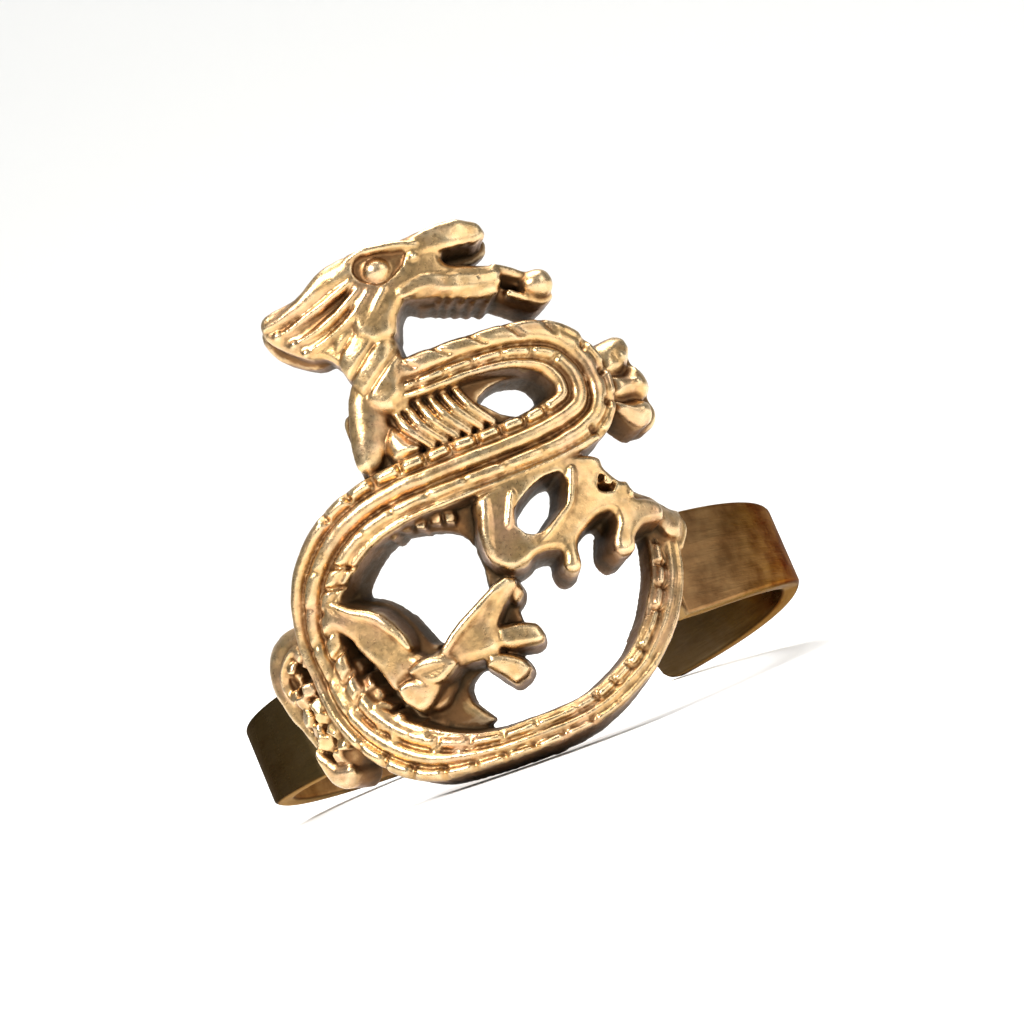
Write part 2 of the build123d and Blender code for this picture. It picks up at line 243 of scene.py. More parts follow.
# Strands. Columns: right, up, wide, high
CREST_STRANDS = [
    [(0.3, 12.5, 1, 1.95), (-0.45, 12.5, 1, 1.98), (-1.1, 12.44, 0.92, 1.94), (-1.85, 12.2, 0.7, 1.9),
     (-2.5, 12.06, 0.58, 1.84), (-3, 11.98, 0.5, 1.78), (-3.5, 11.96, 0.38, 1.68)],
    [(-0.25, 12.14, 0.3, 1.98), (-1, 11.94, 0.38, 1.95), (-1.57, 11.78, 0.38, 1.88),
     (-2.08, 11.68, 0.38, 1.8), (-2.63, 11.55, 0.36, 1.76), (-3.2, 11.5, 0.34, 1.66)],
    [(-0.1, 11.8, 0.3, 1.98), (-0.95, 11.4, 0.38, 1.94), (-1.7, 11.14, 0.38, 1.83),
     (-2.26, 11.05, 0.36, 1.73), (-2.85, 11.02, 0.34, 1.62)],
    [(0.15, 11.6, 0.3, 1.98), (-0.42, 11.18, 0.36, 1.95), (-0.97, 10.91, 0.36, 1.87),
     (-1.59, 10.73, 0.36, 1.74), (-2.07, 10.63, 0.34, 1.68), (-2.55, 10.6, 0.32, 1.58)],
    [(0.67, 11.46, 0.36, 1.99), (0.31, 11.17, 0.42, 1.98), (-0.03, 10.85, 0.44, 1.95),
     (-0.44, 10.56, 0.44, 1.9), (-0.8, 10.37, 0.42, 1.82), (-1.13, 10.19, 0.38, 1.74),
     (-1.45, 9.94, 0.3, 1.6)],
]
BROW_STRAND = [
    (-0.15, 12.78, 0.24, 2), (0.4, 12.9, 0.28, 2.06), (1, 12.82, 0.28, 2.08), (1.6, 12.7, 0.3, 2.08),
    (2.15, 12.5, 0.34, 2.06)
]
SNOUT_STRAND = [
    (2.1, 12.42, 0.7, 1.98), (2.9, 12.46, 0.88, 2.04), (3.6, 12.43, 0.92, 2.04), (4.15, 12.28, 0.76, 1.98)
]
CHEEK_STRAND = [
    (1.2, 11.15, 0.5, 1.98), (2, 11.2, 0.6, 2.02), (2.7, 10.95, 0.66, 2.02), (3.5, 10.72, 0.66, 1.99),
    (4.25, 10.62, 0.6, 1.95)
]
TONGUE_STRANDS = [
    [(4.4, 10.92, 0.32, 1.84), (4.9, 10.62, 0.36, 1.76), (5.3, 10.4, 0.34, 1.7), (5.75, 10.36, 0.3, 1.66)],
    [(4.55, 9.95, 0.28, 1.66), (5.05, 9.66, 0.32, 1.64), (5.5, 9.42, 0.32, 1.6), (5.9, 9.5, 0.28, 1.58)],
]
HIND_RIDGES = [
    [(-5.2, 2.85, 0.26, 2), (-4.6, 2.28, 0.36, 2.1), (-3.95, 1.82, 0.42, 2.14), (-3.6, 1.36, 0.4, 2.14),
     (-3.35, 0.92, 0.34, 2.1), (-3.2, 0.45, 0.24, 2.02)],
    [(-2.1, -0.15, 0.3, 2.02), (-1.7, 0.1, 0.34, 2.04), (-1.2, 0.38, 0.34, 2.04), (-0.6, 0.66, 0.32, 2.02),
     (0.1, 0.96, 0.34, 1.98), (0.6, 1.1, 0.32, 1.9)],
    [(-3.4, -0.3, 0.3, 2.04), (-2.9, -0.28, 0.44, 2.1), (-2.4, -0.4, 0.44, 2.08), (-2.05, -0.6, 0.3, 2)],
]
FORE_RIDGES = [
    [(4.1, 3.75, 0.26, 1.98), (3.8, 3.12, 0.3, 2.02), (3.5, 2.66, 0.28, 2.02), (3.05, 2.36, 0.26, 2),
     (2.55, 2.06, 0.24, 1.98), (2.1, 1.88, 0.2, 1.92)],
    [(1, 3.75, 0.34, 1.98), (0.78, 3.2, 0.4, 2.02), (0.6, 2.62, 0.36, 2), (0.62, 2.1, 0.26, 1.94)],
    [(1.9, 3.7, 0.2, 2), (1.6, 3.15, 0.24, 2.02), (1.36, 2.72, 0.22, 1.98)],
]
COLLAR_STRANDS = [
    [(-6.85, 1.3, 0.26, 1.62), (-6.65, 0.6, 0.28, 1.66), (-6.5, 0, 0.28, 1.66), (-6.38, -0.58, 0.28, 1.66),
     (-6.24, -1.1, 0.26, 1.66), (-6, -1.55, 0.22, 1.64)],
    [(-6.2, 1.3, 0.3, 1.7), (-6.15, 0.65, 0.32, 1.74), (-6.05, 0.1, 0.32, 1.74), (-5.95, -0.42, 0.3, 1.74),
     (-5.78, -0.95, 0.26, 1.72)],
]
SHOULDER_RIM = [
    (-6.9, 2.15, 0.24, 1.58), (-7.5, 2.12, 0.26, 1.62), (-8, 1.9, 0.28, 1.62), (-8.36, 1.56, 0.28, 1.6),
    (-8.46, 1.1, 0.28, 1.58), (-8.26, 0.6, 0.24, 1.54)
]

# Grooves. Columns: right, up, wide, depth
SHOULDER_GROOVE = [
    (-8.95, 0.9, 0.2, 0.2), (-8.9, 0.2, 0.24, 0.4), (-8.45, -0.55, 0.26, 0.5), (-8.25, -1.2, 0.26, 0.5),
    (-8.15, -1.8, 0.24, 0.4)
]
TONGUE_GROOVE = [
    (4.45, 10.48, 0.22, 0.3), (4.75, 10.25, 0.3, 0.4), (5.1, 9.98, 0.3, 0.35), (5.5, 9.74, 0.2, 0.2)
]

# Plates. Each starts with its height, the width of its soft edge, the fall at that edge, its lean to the
# right and its lean upwards. Columns of its outline: right, up
CREST_LIP = (1, 0.25, 0.15, 0, 0, [
    (-3.78, 11.95), (-3.42, 11.71), (-2.6, 10.95), (-1.93, 10.27), (-1.88, 10), (-2.22, 9.93), (-2.67, 10.1),
    (-3.13, 10.42), (-3.47, 10.72), (-3.7, 11.15), (-3.82, 11.6)
])
CREST_BASE = (1.6, 0.2, 0.15, 0, 0, [
    (-3.7, 12), (-3.54, 12.28), (-3.11, 12.38), (-2.35, 12.4), (-1.8, 12.57), (-1.02, 12.88), (-0.2, 12.98),
    (0.52, 12.79), (0.97, 11.33), (0.49, 10.08), (-0.41, 9.94), (-1.33, 9.66), (-1.75, 9.8), (-2.01, 10.15),
    (-2.52, 10.36), (-3, 10.75), (-3.4, 11.22), (-3.64, 11.6)
])
FACE = (1.92, 0.3, 0.24, 0, 0, [
    (-0.05, 13.02), (0.35, 13.05), (0.85, 12.98), (1.6, 12.85), (2, 12.87), (2.4, 12.9), (2.85, 12.92),
    (3.25, 12.95), (3.65, 12.9), (4, 12.78), (4.4, 12.64), (4.6, 12.36), (4.62, 12.1), (4.45, 11.93),
    (4.1, 11.95), (3.75, 11.97), (3.3, 12.03), (3, 11.97), (2.86, 11.76), (3, 11.53), (3.45, 11.35),
    (4.28, 11.08), (4.6, 10.9), (4.6, 10.6), (4.4, 10.3), (4.1, 10.03), (3.5, 10.12), (2.85, 10.33),
    (2.25, 10.58), (1.6, 10.73), (1.15, 10.85), (0.7, 10.5), (0.4, 9.95), (-0.3, 9.9), (-0.8, 10.45),
    (-0.65, 11.3), (-0.45, 12.1), (-0.35, 12.9)
])
MOUTH = (0.85, 0.2, 0.1, 0, 0, [
    (2.7, 12.2), (3.6, 12.1), (4.4, 12), (4.42, 11.7), (4.2, 11.45), (3.6, 11.3), (2.8, 11.4), (2.62, 11.8)
])
JAW_FRONT = (1.38, 0.3, 0.3, 0, 0, [
    (4.4, 10.92), (4.92, 10.6), (5.23, 10.46), (5.63, 10.47), (6, 10.53), (6.2, 10.33), (6.28, 10.03),
    (6.18, 9.69), (5.95, 9.42), (5.66, 9.22), (5.3, 9.14), (5.03, 9.2), (4.68, 9.42), (4.39, 9.6),
    (4.05, 9.85), (4, 10.2), (4.2, 10.72)
])
JAW_SHADE = (1.25, 0.2, 0.2, 0, 0, [
    (1.4, 10.6), (2.3, 10.5), (3.2, 10.2), (4.1, 10.05), (4.4, 10), (4.1, 9.9), (3.55, 9.96), (2.75, 10.14),
    (2.05, 10.32), (1.5, 10.46)
])
WING = (1.72, 0.6, 0.3, -0.12, 0, [
    (-1.63, 9.01), (-1.25, 9.13), (-0.9, 8.93), (-0.72, 8.53), (-0.78, 7.94), (-0.98, 7.31), (-1.35, 6.69),
    (-1.77, 6.21), (-2.18, 6.11), (-2.47, 6.39), (-2.46, 6.92), (-2.29, 7.56), (-2.09, 8.19), (-1.9, 8.64)
])
FLANK_FLOOR = (1.2, 0.2, 0.1, 0, 0, [
    (-2.35, 7.95), (-1.2, 8.2), (-0.4, 7.9), (0.6, 7), (1.2, 6.2), (0.9, 5.5), (0, 5.25), (-1.2, 5.3),
    (-2.4, 5.6)
])
NECK_LEDGE = (1.25, 0.2, 0.1, 0, 0, [
    (-0.3, 7.7), (0.2, 7.95), (1.1, 8), (2, 8.1), (3.1, 8), (4.1, 7.6), (4.7, 7), (4.8, 6.3), (4.3, 5.7),
    (3.4, 5.5), (2.5, 5.6), (1.6, 5.95), (0.6, 6.6)
])
FLANK_PLATE = (1.72, 0.4, 0.3, 0.25, -0.2, [
    (-0.95, 7.32), (-0.65, 6.99), (-0.42, 6.53), (-0.28, 6.18), (-0.77, 6.04), (-1.25, 6.09), (-1.42, 6.59),
    (-1.34, 7)
])
FORELEG = (1.86, 0.22, 0.2, -0.02, 0, [
    (0.84, 4.02), (0.5, 3.28), (0.33, 2.71), (0.34, 2.07), (0.59, 1.58), (0.99, 1.31), (1.43, 1.34),
    (1.95, 1.52), (2.6, 1.43), (2.66, 1.14), (2.56, 0.8), (2.76, 0.54), (3.08, 0.65), (3.24, 1.23),
    (3.45, 1.59), (3.9, 1.86), (4.35, 2.03), (4.84, 2.01), (4.85, 1.66), (4.55, 1.23), (4.4, 0.84),
    (4.56, 0.52), (5.07, 0.6), (5.33, 1.04), (5.79, 1.27), (6.25, 1.3), (6.6, 1.25), (6.75, 1.6),
    (6.67, 1.87), (6.36, 2.09), (5.92, 2.22), (5.9, 2.57), (5.83, 2.84), (5.56, 2.95), (5.25, 3.47),
    (5.14, 3.9), (3.88, 4.3), (2.43, 4.28)
])
FORE_FLOOR = (0.8, 0.2, 0.1, 0, 0, [
    (0.78, 3.87), (0.22, 2.87), (0.1, 2.33), (0.08, 1.72), (0.02, 1.1), (0.25, 0.66), (0.89, 0.86),
    (1.22, 1.12), (1.84, 1.28), (2.22, 1.22), (2.36, 0.88), (2.42, 0.56), (2.73, 0.5), (3.05, 0.68),
    (3.28, 1.34), (3.7, 1.6), (4.06, 1.62), (4.1, 1.35), (4.02, 0.97), (4.18, 0.6), (4.44, 0.42),
    (4.88, 0.42), (5.15, 0.68), (5.42, 1.05), (5.79, 0.98), (5.95, 0.5), (6.1, 0), (6.44, -0.23),
    (7.45, 0.95), (6.09, 2.3), (3.81, 4.14)
])
HIP_WEB = (1.25, 0.4, 0.15, -0.35, 0, [
    (5.2, 1.3), (5.8, 1.22), (6.25, 1.15), (6.6, 0.7), (7.2, 0.6), (7.75, 1.1), (7.7, 1.5), (7.04, 1.6),
    (6.67, 1.9), (6.3, 2.12), (5.6, 2.3)
])
THIGH = (1.92, 0.3, 0.18, 0.03, 0.08, [
    (-5.41, 3), (-5.02, 2.75), (-4.61, 2.31), (-4.27, 1.99), (-3.79, 1.68), (-3.55, 1.36), (-3.4, 0.95),
    (-3.17, 0.82), (-3.08, 0.57), (-3.15, 0.25), (-2.9, 0.04), (-2.89, -0.23), (-3.4, -0.38), (-3.85, -0.5),
    (-4.12, -0.73), (-4.34, -0.56), (-4.45, -0.16), (-4.55, 0.31), (-4.75, 0.75), (-4.91, 1.1), (-4.99, 1.41),
    (-5.14, 1.69), (-5.42, 1.97), (-5.85, 2.1)
])
THIGH_LEDGE = (1.1, 0.3, 0.1, -0.25, -0.25, [
    (-4.83, 3.56), (-4.21, 3.56), (-3.84, 3.08), (-4.06, 2.76), (-4.06, 2.48), (-3.5, 2.16), (-3.12, 1.77),
    (-2.84, 1.29), (-2.62, 0.71), (-2.42, 0.22), (-2.22, 0.02), (-2.7, -0.31), (-3.51, 0.41), (-4.22, 1.43),
    (-5.09, 2.61)
])
BEND_LEDGE = (0.95, 0.3, 0.1, 0, 0.45, [
    (-4.26, 3.44), (-3.84, 3.36), (-3.46, 3.6), (-2.86, 3.82), (-2.24, 3.8), (-1.38, 3.64), (-0.75, 3.46),
    (-0.32, 3.24), (-0.06, 2.96), (0.09, 2.6), (0.52, 2.92), (0.74, 3.61), (-0.09, 4.14), (-1.64, 4.65),
    (-2.82, 4.48), (-3.85, 4.07)
])
KNEE = (1.9, 0.2, 0.15, -0.08, 0.22, [
    (-4.09, -0.67), (-3.83, -0.52), (-3.5, -0.54), (-2.95, -0.8), (-2.57, -0.96), (-2.8, -1.24),
    (-3.24, -1.56), (-3.65, -1.62), (-3.88, -1.4), (-4.08, -1.06)
])
KNEE_TOP = (2, 0.25, 0.15, 0.05, -0.15, [
    (-3.52, -0.44), (-3.18, -0.18), (-2.7, -0.1), (-2.33, -0.1), (-2.04, -0.33), (-1.9, -0.66), (-2.22, -0.9),
    (-2.64, -1.02), (-3.12, -0.84)
])
KNEE_SIDE = (1.3, 0.2, 0.15, -0.5, 0.2, [
    (-2.75, -0.9), (-2.3, -0.85), (-2, -1), (-2.3, -1.45), (-2.75, -1.85), (-3.2, -1.8), (-3.1, -1.45)
])
WEB = (0.75, 0.3, 0.1, -0.25, 0, [
    (-3.52, -1.7), (-2.65, -1.03), (-2.02, -0.83), (-1.29, -0.82), (-0.8, -1.15), (-0.78, -1.38),
    (-1.16, -1.3), (-1.6, -1.38), (-1.9, -1.66), (-1.94, -1.99), (-1.8, -2.33), (-1.6, -2.62), (-1.5, -2.92),
    (-2.38, -2.9), (-3.18, -2.2)
])
SHIN = (1.84, 0.35, 0.2, -0.03, 0.1, [
    (-2.61, -0.1), (-2.24, -0.09), (-1.9, 0.1), (-1.45, 0.4), (-1.02, 0.59), (-0.51, 0.79), (-0.08, 0.99),
    (0.27, 1.12), (0.51, 1.25), (0.9, 1.12), (0.87, 0.87), (0.6, 0.64), (0.22, 0.38), (-0.08, 0.09),
    (-0.28, -0.25), (-0.29, -0.59), (-0.5, -0.86), (-0.88, -0.93), (-1.49, -0.87), (-2.02, -0.84),
    (-2.41, -0.9)
])
SPUR = (1.6, 0.3, 0.3, 0, 0, [
    (0.8, 1.2), (1, 0.98), (1.05, 0.62), (0.8, 0.36), (0.56, 0.4), (0.5, 0.9)
])
SPUR_WEB = (0.85, 0.2, 0.1, 0, 0, [
    (0.27, 0.83), (0.8, 0.4), (0.62, 0.05), (0.6, -0.32), (0.14, -0.38), (-0.26, -0.1)
])
UPPER_TOE = (1.55, 0.22, 0.22, -0.18, 0, [
    (-0.34, -0.18), (0.1, -0.18), (0.64, -0.32), (1, -0.5), (1.12, -0.8), (1.06, -1.08), (0.84, -1.18),
    (0.37, -1.08), (-0.17, -0.95), (-0.43, -0.66)
])
LOWER_TOE = (1.55, 0.22, 0.22, -0.12, 0.2, [
    (-0.87, -0.86), (-0.48, -0.96), (-0.04, -1.22), (0.2, -1.48), (0.3, -1.8), (0.06, -2.02), (-0.36, -2.1),
    (-0.56, -1.88), (-0.84, -1.5), (-1.06, -1.16)
])
SHOULDER = (1.45, 0.45, 0.3, 0, 0, [
    (-6.4, 2.9), (-6.9, 2.8), (-7.6, 2.86), (-8.3, 2.72), (-8.9, 2.34), (-9.2, 1.8), (-9.26, 1.17),
    (-9.16, 0.54), (-8.88, -0.14), (-8.55, -0.75), (-8.28, -1.3), (-8.3, -1.8), (-8.2, -2.35), (-7.62, -2.72),
    (-7.15, -2.62), (-6.85, -2.3), (-6.3, -1.9), (-5.7, -1.2), (-5.6, 0), (-5.8, 1.5), (-6, 2.6)
])
SHOULDER_BLOCK = (1.6, 0.25, 0.2, 0.1, 0.2, [
    (-8.16, -1.05), (-7.84, -1.49), (-7.53, -1.91), (-7.02, -2.08), (-6.92, -2.38), (-7.15, -2.66),
    (-7.57, -2.74), (-8.18, -2.45), (-8.36, -1.87), (-8.34, -1.28)
])
CLAW_FLOOR = (0.85, 0.2, 0.1, 0, 0, [
    (5.86, 6.9), (6.72, 7.25), (7.17, 7.5), (7.75, 7.56), (8.15, 7.2), (8.05, 6.68), (8.38, 6.26),
    (8.45, 5.7), (8.14, 5.31), (8.2, 4.82), (7.93, 4.4), (7.36, 4.18), (6.97, 4.3), (6.43, 4.89), (5.8, 5.2)
])
CLAW_TOP = (1.66, 0.45, 0.4, 0, 0, [
    (6.72, 7), (6.97, 7.4), (7.26, 7.55), (7.85, 7.68), (8.25, 7.6), (8.4, 7.14), (8.12, 6.72), (7.6, 6.4),
    (6.99, 6.3), (6.6, 6.55)
])
CLAW_MIDDLE = (1.66, 0.45, 0.4, 0, 0, [
    (6.9, 6.45), (7.6, 6.36), (8.17, 6.62), (8.5, 6.28), (8.58, 5.86), (8.42, 5.52), (8.1, 5.36), (7.7, 5.5),
    (7.04, 5.5), (6.71, 5.8)
])
CLAW_LOW = (1.66, 0.45, 0.4, 0, 0, [
    (6.7, 5.6), (7.2, 5.46), (7.77, 5.46), (8.2, 5.26), (8.22, 4.84), (7.98, 4.55), (7.48, 4.45), (7.1, 4.72),
    (6.75, 5.2)
])

# Hollows and openings. Each starts with the height that its outline is read at and the floor that it is
# sunk to. Columns of its outline: right, up
EYE = (1.95, 1.78, [
    (0.04, 12.61), (0.21, 12.7), (0.53, 12.71), (0.99, 12.63), (1.43, 12.51), (1.77, 12.38), (1.68, 12.18),
    (1.45, 11.94), (1.13, 11.78), (0.82, 11.65), (0.52, 11.68), (0.22, 11.87), (-0.02, 12.13), (-0.07, 12.41)
])
NECK_OPENING = (1.1, 0, [
    (2.02, 6.82), (2.2, 7.02), (2.5, 7.16), (2.95, 7.22), (3.55, 7.14), (4.1, 6.86), (4.28, 6.44),
    (4.12, 6.02), (3.75, 5.8), (3.25, 5.84), (2.55, 6.22)
])
OVAL = (1.85, 0, [
    (1.62, 2.62), (1.75, 3.08), (2.14, 3.42), (2.58, 3.66), (3.12, 3.82), (3.66, 3.78), (3.7, 3.38),
    (3.45, 2.83), (3.02, 2.52), (2.58, 2.26), (2.16, 2.16), (1.78, 2.3)
])
HIP_PIT = (1.85, 1.3, [
    (4.9, 3.28), (5.07, 3.17), (4.93, 2.99), (5.14, 2.86), (5.39, 2.96), (5.2, 2.68), (4.87, 2.68),
    (4.66, 2.88)
])
SHOULDER_PIT = (1.45, 0.95, [
    (-7.5, 1.95), (-7.07, 1.88), (-6.8, 1.48), (-6.8, 0.93), (-6.76, 0.4), (-6.66, -0.14), (-6.52, -0.74),
    (-6.84, -1.27), (-6.97, -1.75), (-7.5, -1.8), (-7.8, -1.36), (-7.92, -0.76), (-7.98, 0.02), (-8.1, 0.77),
    (-8.05, 1.39)
])

# Beads and nuggets. Columns: right, up, radius, high
BEADS = [
    (0.7, 12.18, 0.5, 2.06), (1.98, 12.13, 0.16, 2.06), (5.86, 10.06, 0.54, 2.08), (-3.2, 11.52, 0.2, 1.76),
    (-2.8, 11.02, 0.2, 1.72), (-2.52, 10.6, 0.19, 1.68), (7.75, 6.95, 0.26, 1.78), (7.95, 5.95, 0.22, 1.76),
    (7.7, 5.02, 0.24, 1.7), (5.72, 2.42, 0.16, 1.9)
]
NUGGETS = [
    (-7.26, 1.9, 0.26, 1.64), (-6.88, 1.49, 0.26, 1.68), (-7.77, 1.68, 0.22, 1.58), (-7.7, 1.18, 0.3, 1.34),
    (-7.35, 0.72, 0.27, 1.66), (-8.13, 0.78, 0.26, 1.58), (-7.86, 0.42, 0.3, 1.66), (-7.23, 0.14, 0.28, 1.72),
    (-8, -0.06, 0.34, 1.66), (-7.29, -0.3, 0.26, 1.72), (-6.99, -0.75, 0.3, 1.74), (-7.75, -0.62, 0.3, 1.66),
    (-7.55, -1.09, 0.34, 1.68), (-6.91, -1.31, 0.28, 1.74), (-7.33, -1.67, 0.28, 1.68),
    (-5.2, 0.59, 0.26, 1.4), (-5.09, -0.02, 0.3, 1.5), (-5.45, -0.32, 0.28, 1.6), (-4.89, -0.46, 0.28, 1.5),
    (-5.24, -0.84, 0.32, 1.66), (-4.79, -1.03, 0.28, 1.56), (-5, -1.37, 0.34, 1.72),
    (-4.51, -1.54, 0.28, 1.62), (-4.61, -1.92, 0.36, 1.76), (-4.1, -2.11, 0.3, 1.68),
    (-4.04, -2.49, 0.36, 1.78), (-3.49, -2.73, 0.34, 1.76), (-3.04, -3.14, 0.3, 1.72),
    (-3.31, 3.84, 0.2, 1.4), (-2.78, 4.04, 0.2, 1.45), (-2.25, 4, 0.2, 1.45), (-1.73, 4.04, 0.2, 1.45),
    (-1.22, 3.94, 0.2, 1.4), (-0.72, 3.86, 0.2, 1.35), (-0.25, 3.7, 0.2, 1.3)
]

# The small teeth on the shaded side of the lower jaw. Columns: right, up of the top, right, up of the foot
TEETH = [
    (2.32, 10.52, 2.14, 10.42), (2.61, 10.4, 2.44, 10.3), (3, 10.26, 2.82, 10.16), (3.38, 10.16, 3.2, 10.04),
    (3.85, 10.04, 3.66, 9.9)
]

# The band's arms. Columns: back as a share of the band's radius, low and high as shares of its width
RIGHT_ARM_EDGES = [
    (-0.75, -0.56, 0.43), (0, -0.42, 0.38), (0.9, -0.54, 0.17)
]
LEFT_ARM_EDGES = [
    (-0.81, -0.58, 0.37), (0, -0.41, 0.39), (1, -0.33, 0.4)
]


def linear(hexadecimal):
    """Scene colour of an sRGB hex value."""
    parts = [int(hexadecimal[n:n + 2], 16) / 255 for n in (1, 3, 5)]
    return tuple(c / 12.92 if c <= 0.04045 else ((c + 0.055) / 1.055) ** 2.4 for c in parts) + (1.0,)


def resting():
    """Matrix from the ring's own millimetres, with the finger's axis upright, to the ring at rest."""
    axis = Vector(finger["axis"]).normalized()
    back = Vector((0, axis.z, -axis.y)).normalized()
    right = back.cross(axis)
    turn = Matrix((right, back, axis)).transposed().to_4x4()
    return Matrix.Translation(Vector(finger["pos_m"])) @ turn @ Matrix.Scale(MM, 4)


def bore_radius():
    """Radius of the finger's hollow in millimetres."""
    return finger["dims"]["r_mm"]


def in_hundredths(rows):
    """A row of cuts in millimetres."""
    return [(r / 100 * SPAN, u / 100 * RISE, w * BODY_WIDTH, h * RELIEF) for r, u, w, h in rows]


def slid(right, up, high):
    """A place read from the front on the girth, slid along the line of sight to its own height."""
    across = GIRTH_RADIUS * sin(right / GIRTH_RADIUS)
    nearer = GIRTH_RADIUS * cos(right / GIRTH_RADIUS)
    radius = bore_radius() + high
    deep = sqrt(radius * radius - across * across)
    up = up - (deep - nearer) * sin(radians(LOOK_TILT)) / cos(radians(LOOK_TILT))
    return GIRTH_RADIUS * np.arcsin(across / radius), up


def from_front(rows):
    """Rows read from the front, each slid to its own height."""
    return [slid(row[0], row[1], row[3]) + tuple(row[2:]) for row in rows]


def outline_from_front(spots, high):
    """An outline read from the front, slid to one height."""
    return [slid(right, up, high) for right, up in spots]


def traced(rows, steps=ROUTE_STEPS):
    """Smooth route through rows of numbers, with that many steps from each row to the next."""
    rows = np.array(rows, float)
    rows = np.vstack([2 * rows[0] - rows[1], rows, 2 * rows[-1] - rows[-2]])
    t = np.linspace(0, 1, steps, endpoint=False)[:, None]
    runs = []
    for a, b, c, d in zip(rows, rows[1:], rows[2:], rows[3:]):
        runs.append(b + 0.5 * t * (c - a + t * (2 * a - 5 * b + 4 * c - d + t * (3 * (b - c) + d - a))))
    return np.vstack(runs + [rows[-2:-1]])


def beside(rights, ups, a, b):
    """How far along a straight run each place lies, from 0 to 1, and its offset from there."""
    run = b[:2] - a[:2]
    off_right, off_up = rights - a[0], ups - a[1]
    t = ((off_right * run[0] + off_up * run[1]) / (run @ run)).clip(0, 1)
    return t, off_right - t * run[0], off_up - t * run[1]


class Relief:
    """Heights above the bore over an even drawing of the unrolled finger, in millimetres. No height is open."""

    def __init__(self, step):
        left, right, low, high = DRAWING
        self.step = step
        self.rights, self.ups = np.meshgrid(
            np.arange(left, right, step), np.arange(low, high, step), indexing="ij"
        )
        self.height = np.zeros(self.rights.shape)

    def window(self, low, high):
        """The part of the drawing between two corners."""
        left, _, bottom, _ = DRAWING
        first = np.floor((np.array(low) - (left, bottom)) / self.step).astype(int).clip(0)
        last = np.ceil((np.array(high) - (left, bottom)) / self.step).astype(int).clip(0)
        return slice(first[0], last[0] + 1), slice(first[1], last[1] + 1)

    def followed(self, rows):
        """How each place lies to a route: rows passed, side as a share of the half width, half width, last
        number of the row and length run."""
        route = traced(rows)
        reach = np.full(self.height.shape, np.inf)
        passed = np.zeros(self.height.shape)
        hand = np.ones(self.height.shape)
        for n, (a, b) in enumerate(zip(route, route[1:])):
            margin = max(a[2], b[2]) / 2 + self.step
            part = self.window(np.minimum(a, b)[:2] - margin, np.maximum(a, b)[:2] + margin)
            t, off_right, off_up = beside(self.rights[part], self.ups[part], a, b)
            gap = np.hypot(off_right, off_up)
            nearer = gap < reach[part]
            turned = np.sign((b[0] - a[0]) * off_up - (b[1] - a[1]) * off_right)
            for kept, new in ((reach, gap), (passed, (n + t) / ROUTE_STEPS), (hand, turned)):
                kept[part] = np.where(nearer, new, kept[part])
        places = np.arange(len(route)) / ROUTE_STEPS
        half = np.interp(passed, places, route[:, 2]) / 2
        last = np.interp(passed, places, route[:, 3])
        inside = reach < half
        side = np.where(inside, hand * reach / half, 0)
        lengths = np.concatenate([[0], np.cumsum(np.hypot(*np.diff(route[:, :2], axis=0).T))])
        return inside, passed, side, half, last, np.interp(passed, places, lengths)

    def enclosed(self, spots):
        """Distance in from a smooth closed outline, below zero outside it."""
        beyond = 2 * OUTLINE_STEPS
        rounds = traced(spots[-2:] + spots + spots[:2], OUTLINE_STEPS)[beyond:-beyond]
        part = self.window(rounds.min(axis=0) - OUTLINE_MARGIN, rounds.max(axis=0) + OUTLINE_MARGIN)
        rights, ups = self.rights[part], self.ups[part]
        gap = np.full(rights.shape, np.inf)
        within = np.zeros(rights.shape, bool)
        for a, b in zip(rounds, np.roll(rounds, -1, axis=0)):
            gap = np.minimum(gap, np.hypot(*beside(rights, ups, a, b)[1:]))
            crossed = (a[1] > ups) != (b[1] > ups)
            rise = np.where(crossed, b[1] - a[1], 1.0)
            within ^= crossed & (rights < (ups - a[1]) / rise * (b[0] - a[0]) + a[0])
        whole = np.full(self.height.shape, -np.inf)
        whole[part] = np.where(within, gap, -gap)
        return whole

    def raise_to(self, inside, height):
        """Metal is added up to a height."""
        self.height = np.where(inside, np.maximum(self.height, height), self.height)

    def cut_by(self, inside, depth):
        """Metal is taken away, down to the lowest floor of a groove at the most."""
        lowered = np.maximum(self.height - depth, np.minimum(self.height, GROOVE_FLOOR))
        self.height = np.where(inside, lowered, self.height)

    def draft(self):
        """Every wall gets a casting's draft: its foot reaches out, and it rises with one steep slope."""
        for _ in range(int(DRAFT_REACH / self.step) + 1):
            grown = self.height
            for across, along in ((1, 0), (-1, 0), (0, 1), (0, -1), (1, 1), (1, -1), (-1, 1), (-1, -1)):
                drop = DRAFT_SLOPE * self.step * sqrt(across ** 2 + along ** 2)
                grown = np.maximum(grown, np.roll(self.height, (across, along), (0, 1)) - drop)
            self.height = grown


def rounded(side, edge):
    """How far a form's back falls towards its sides: 0 up to the edge's share, 1 at the very side."""
    beyond = ((np.abs(side) - edge) / (1 - edge)).clip(0, 1)
    return 1 - np.sqrt(1 - beyond * beyond)


def lay_strands(relief, strands, fall, edge=0.0):
    """Strands of metal with rounded backs."""
    for rows in strands:
        inside, _, side, _, high, _ = relief.followed(rows)
        relief.raise_to(inside, high - fall * rounded(side, edge))


def lay_from_front(relief, strands, fall, edge=0.0):
    """Strands of metal with rounded backs, read from the front."""
    lay_strands(relief, [from_front(rows) for rows in strands], fall, edge)


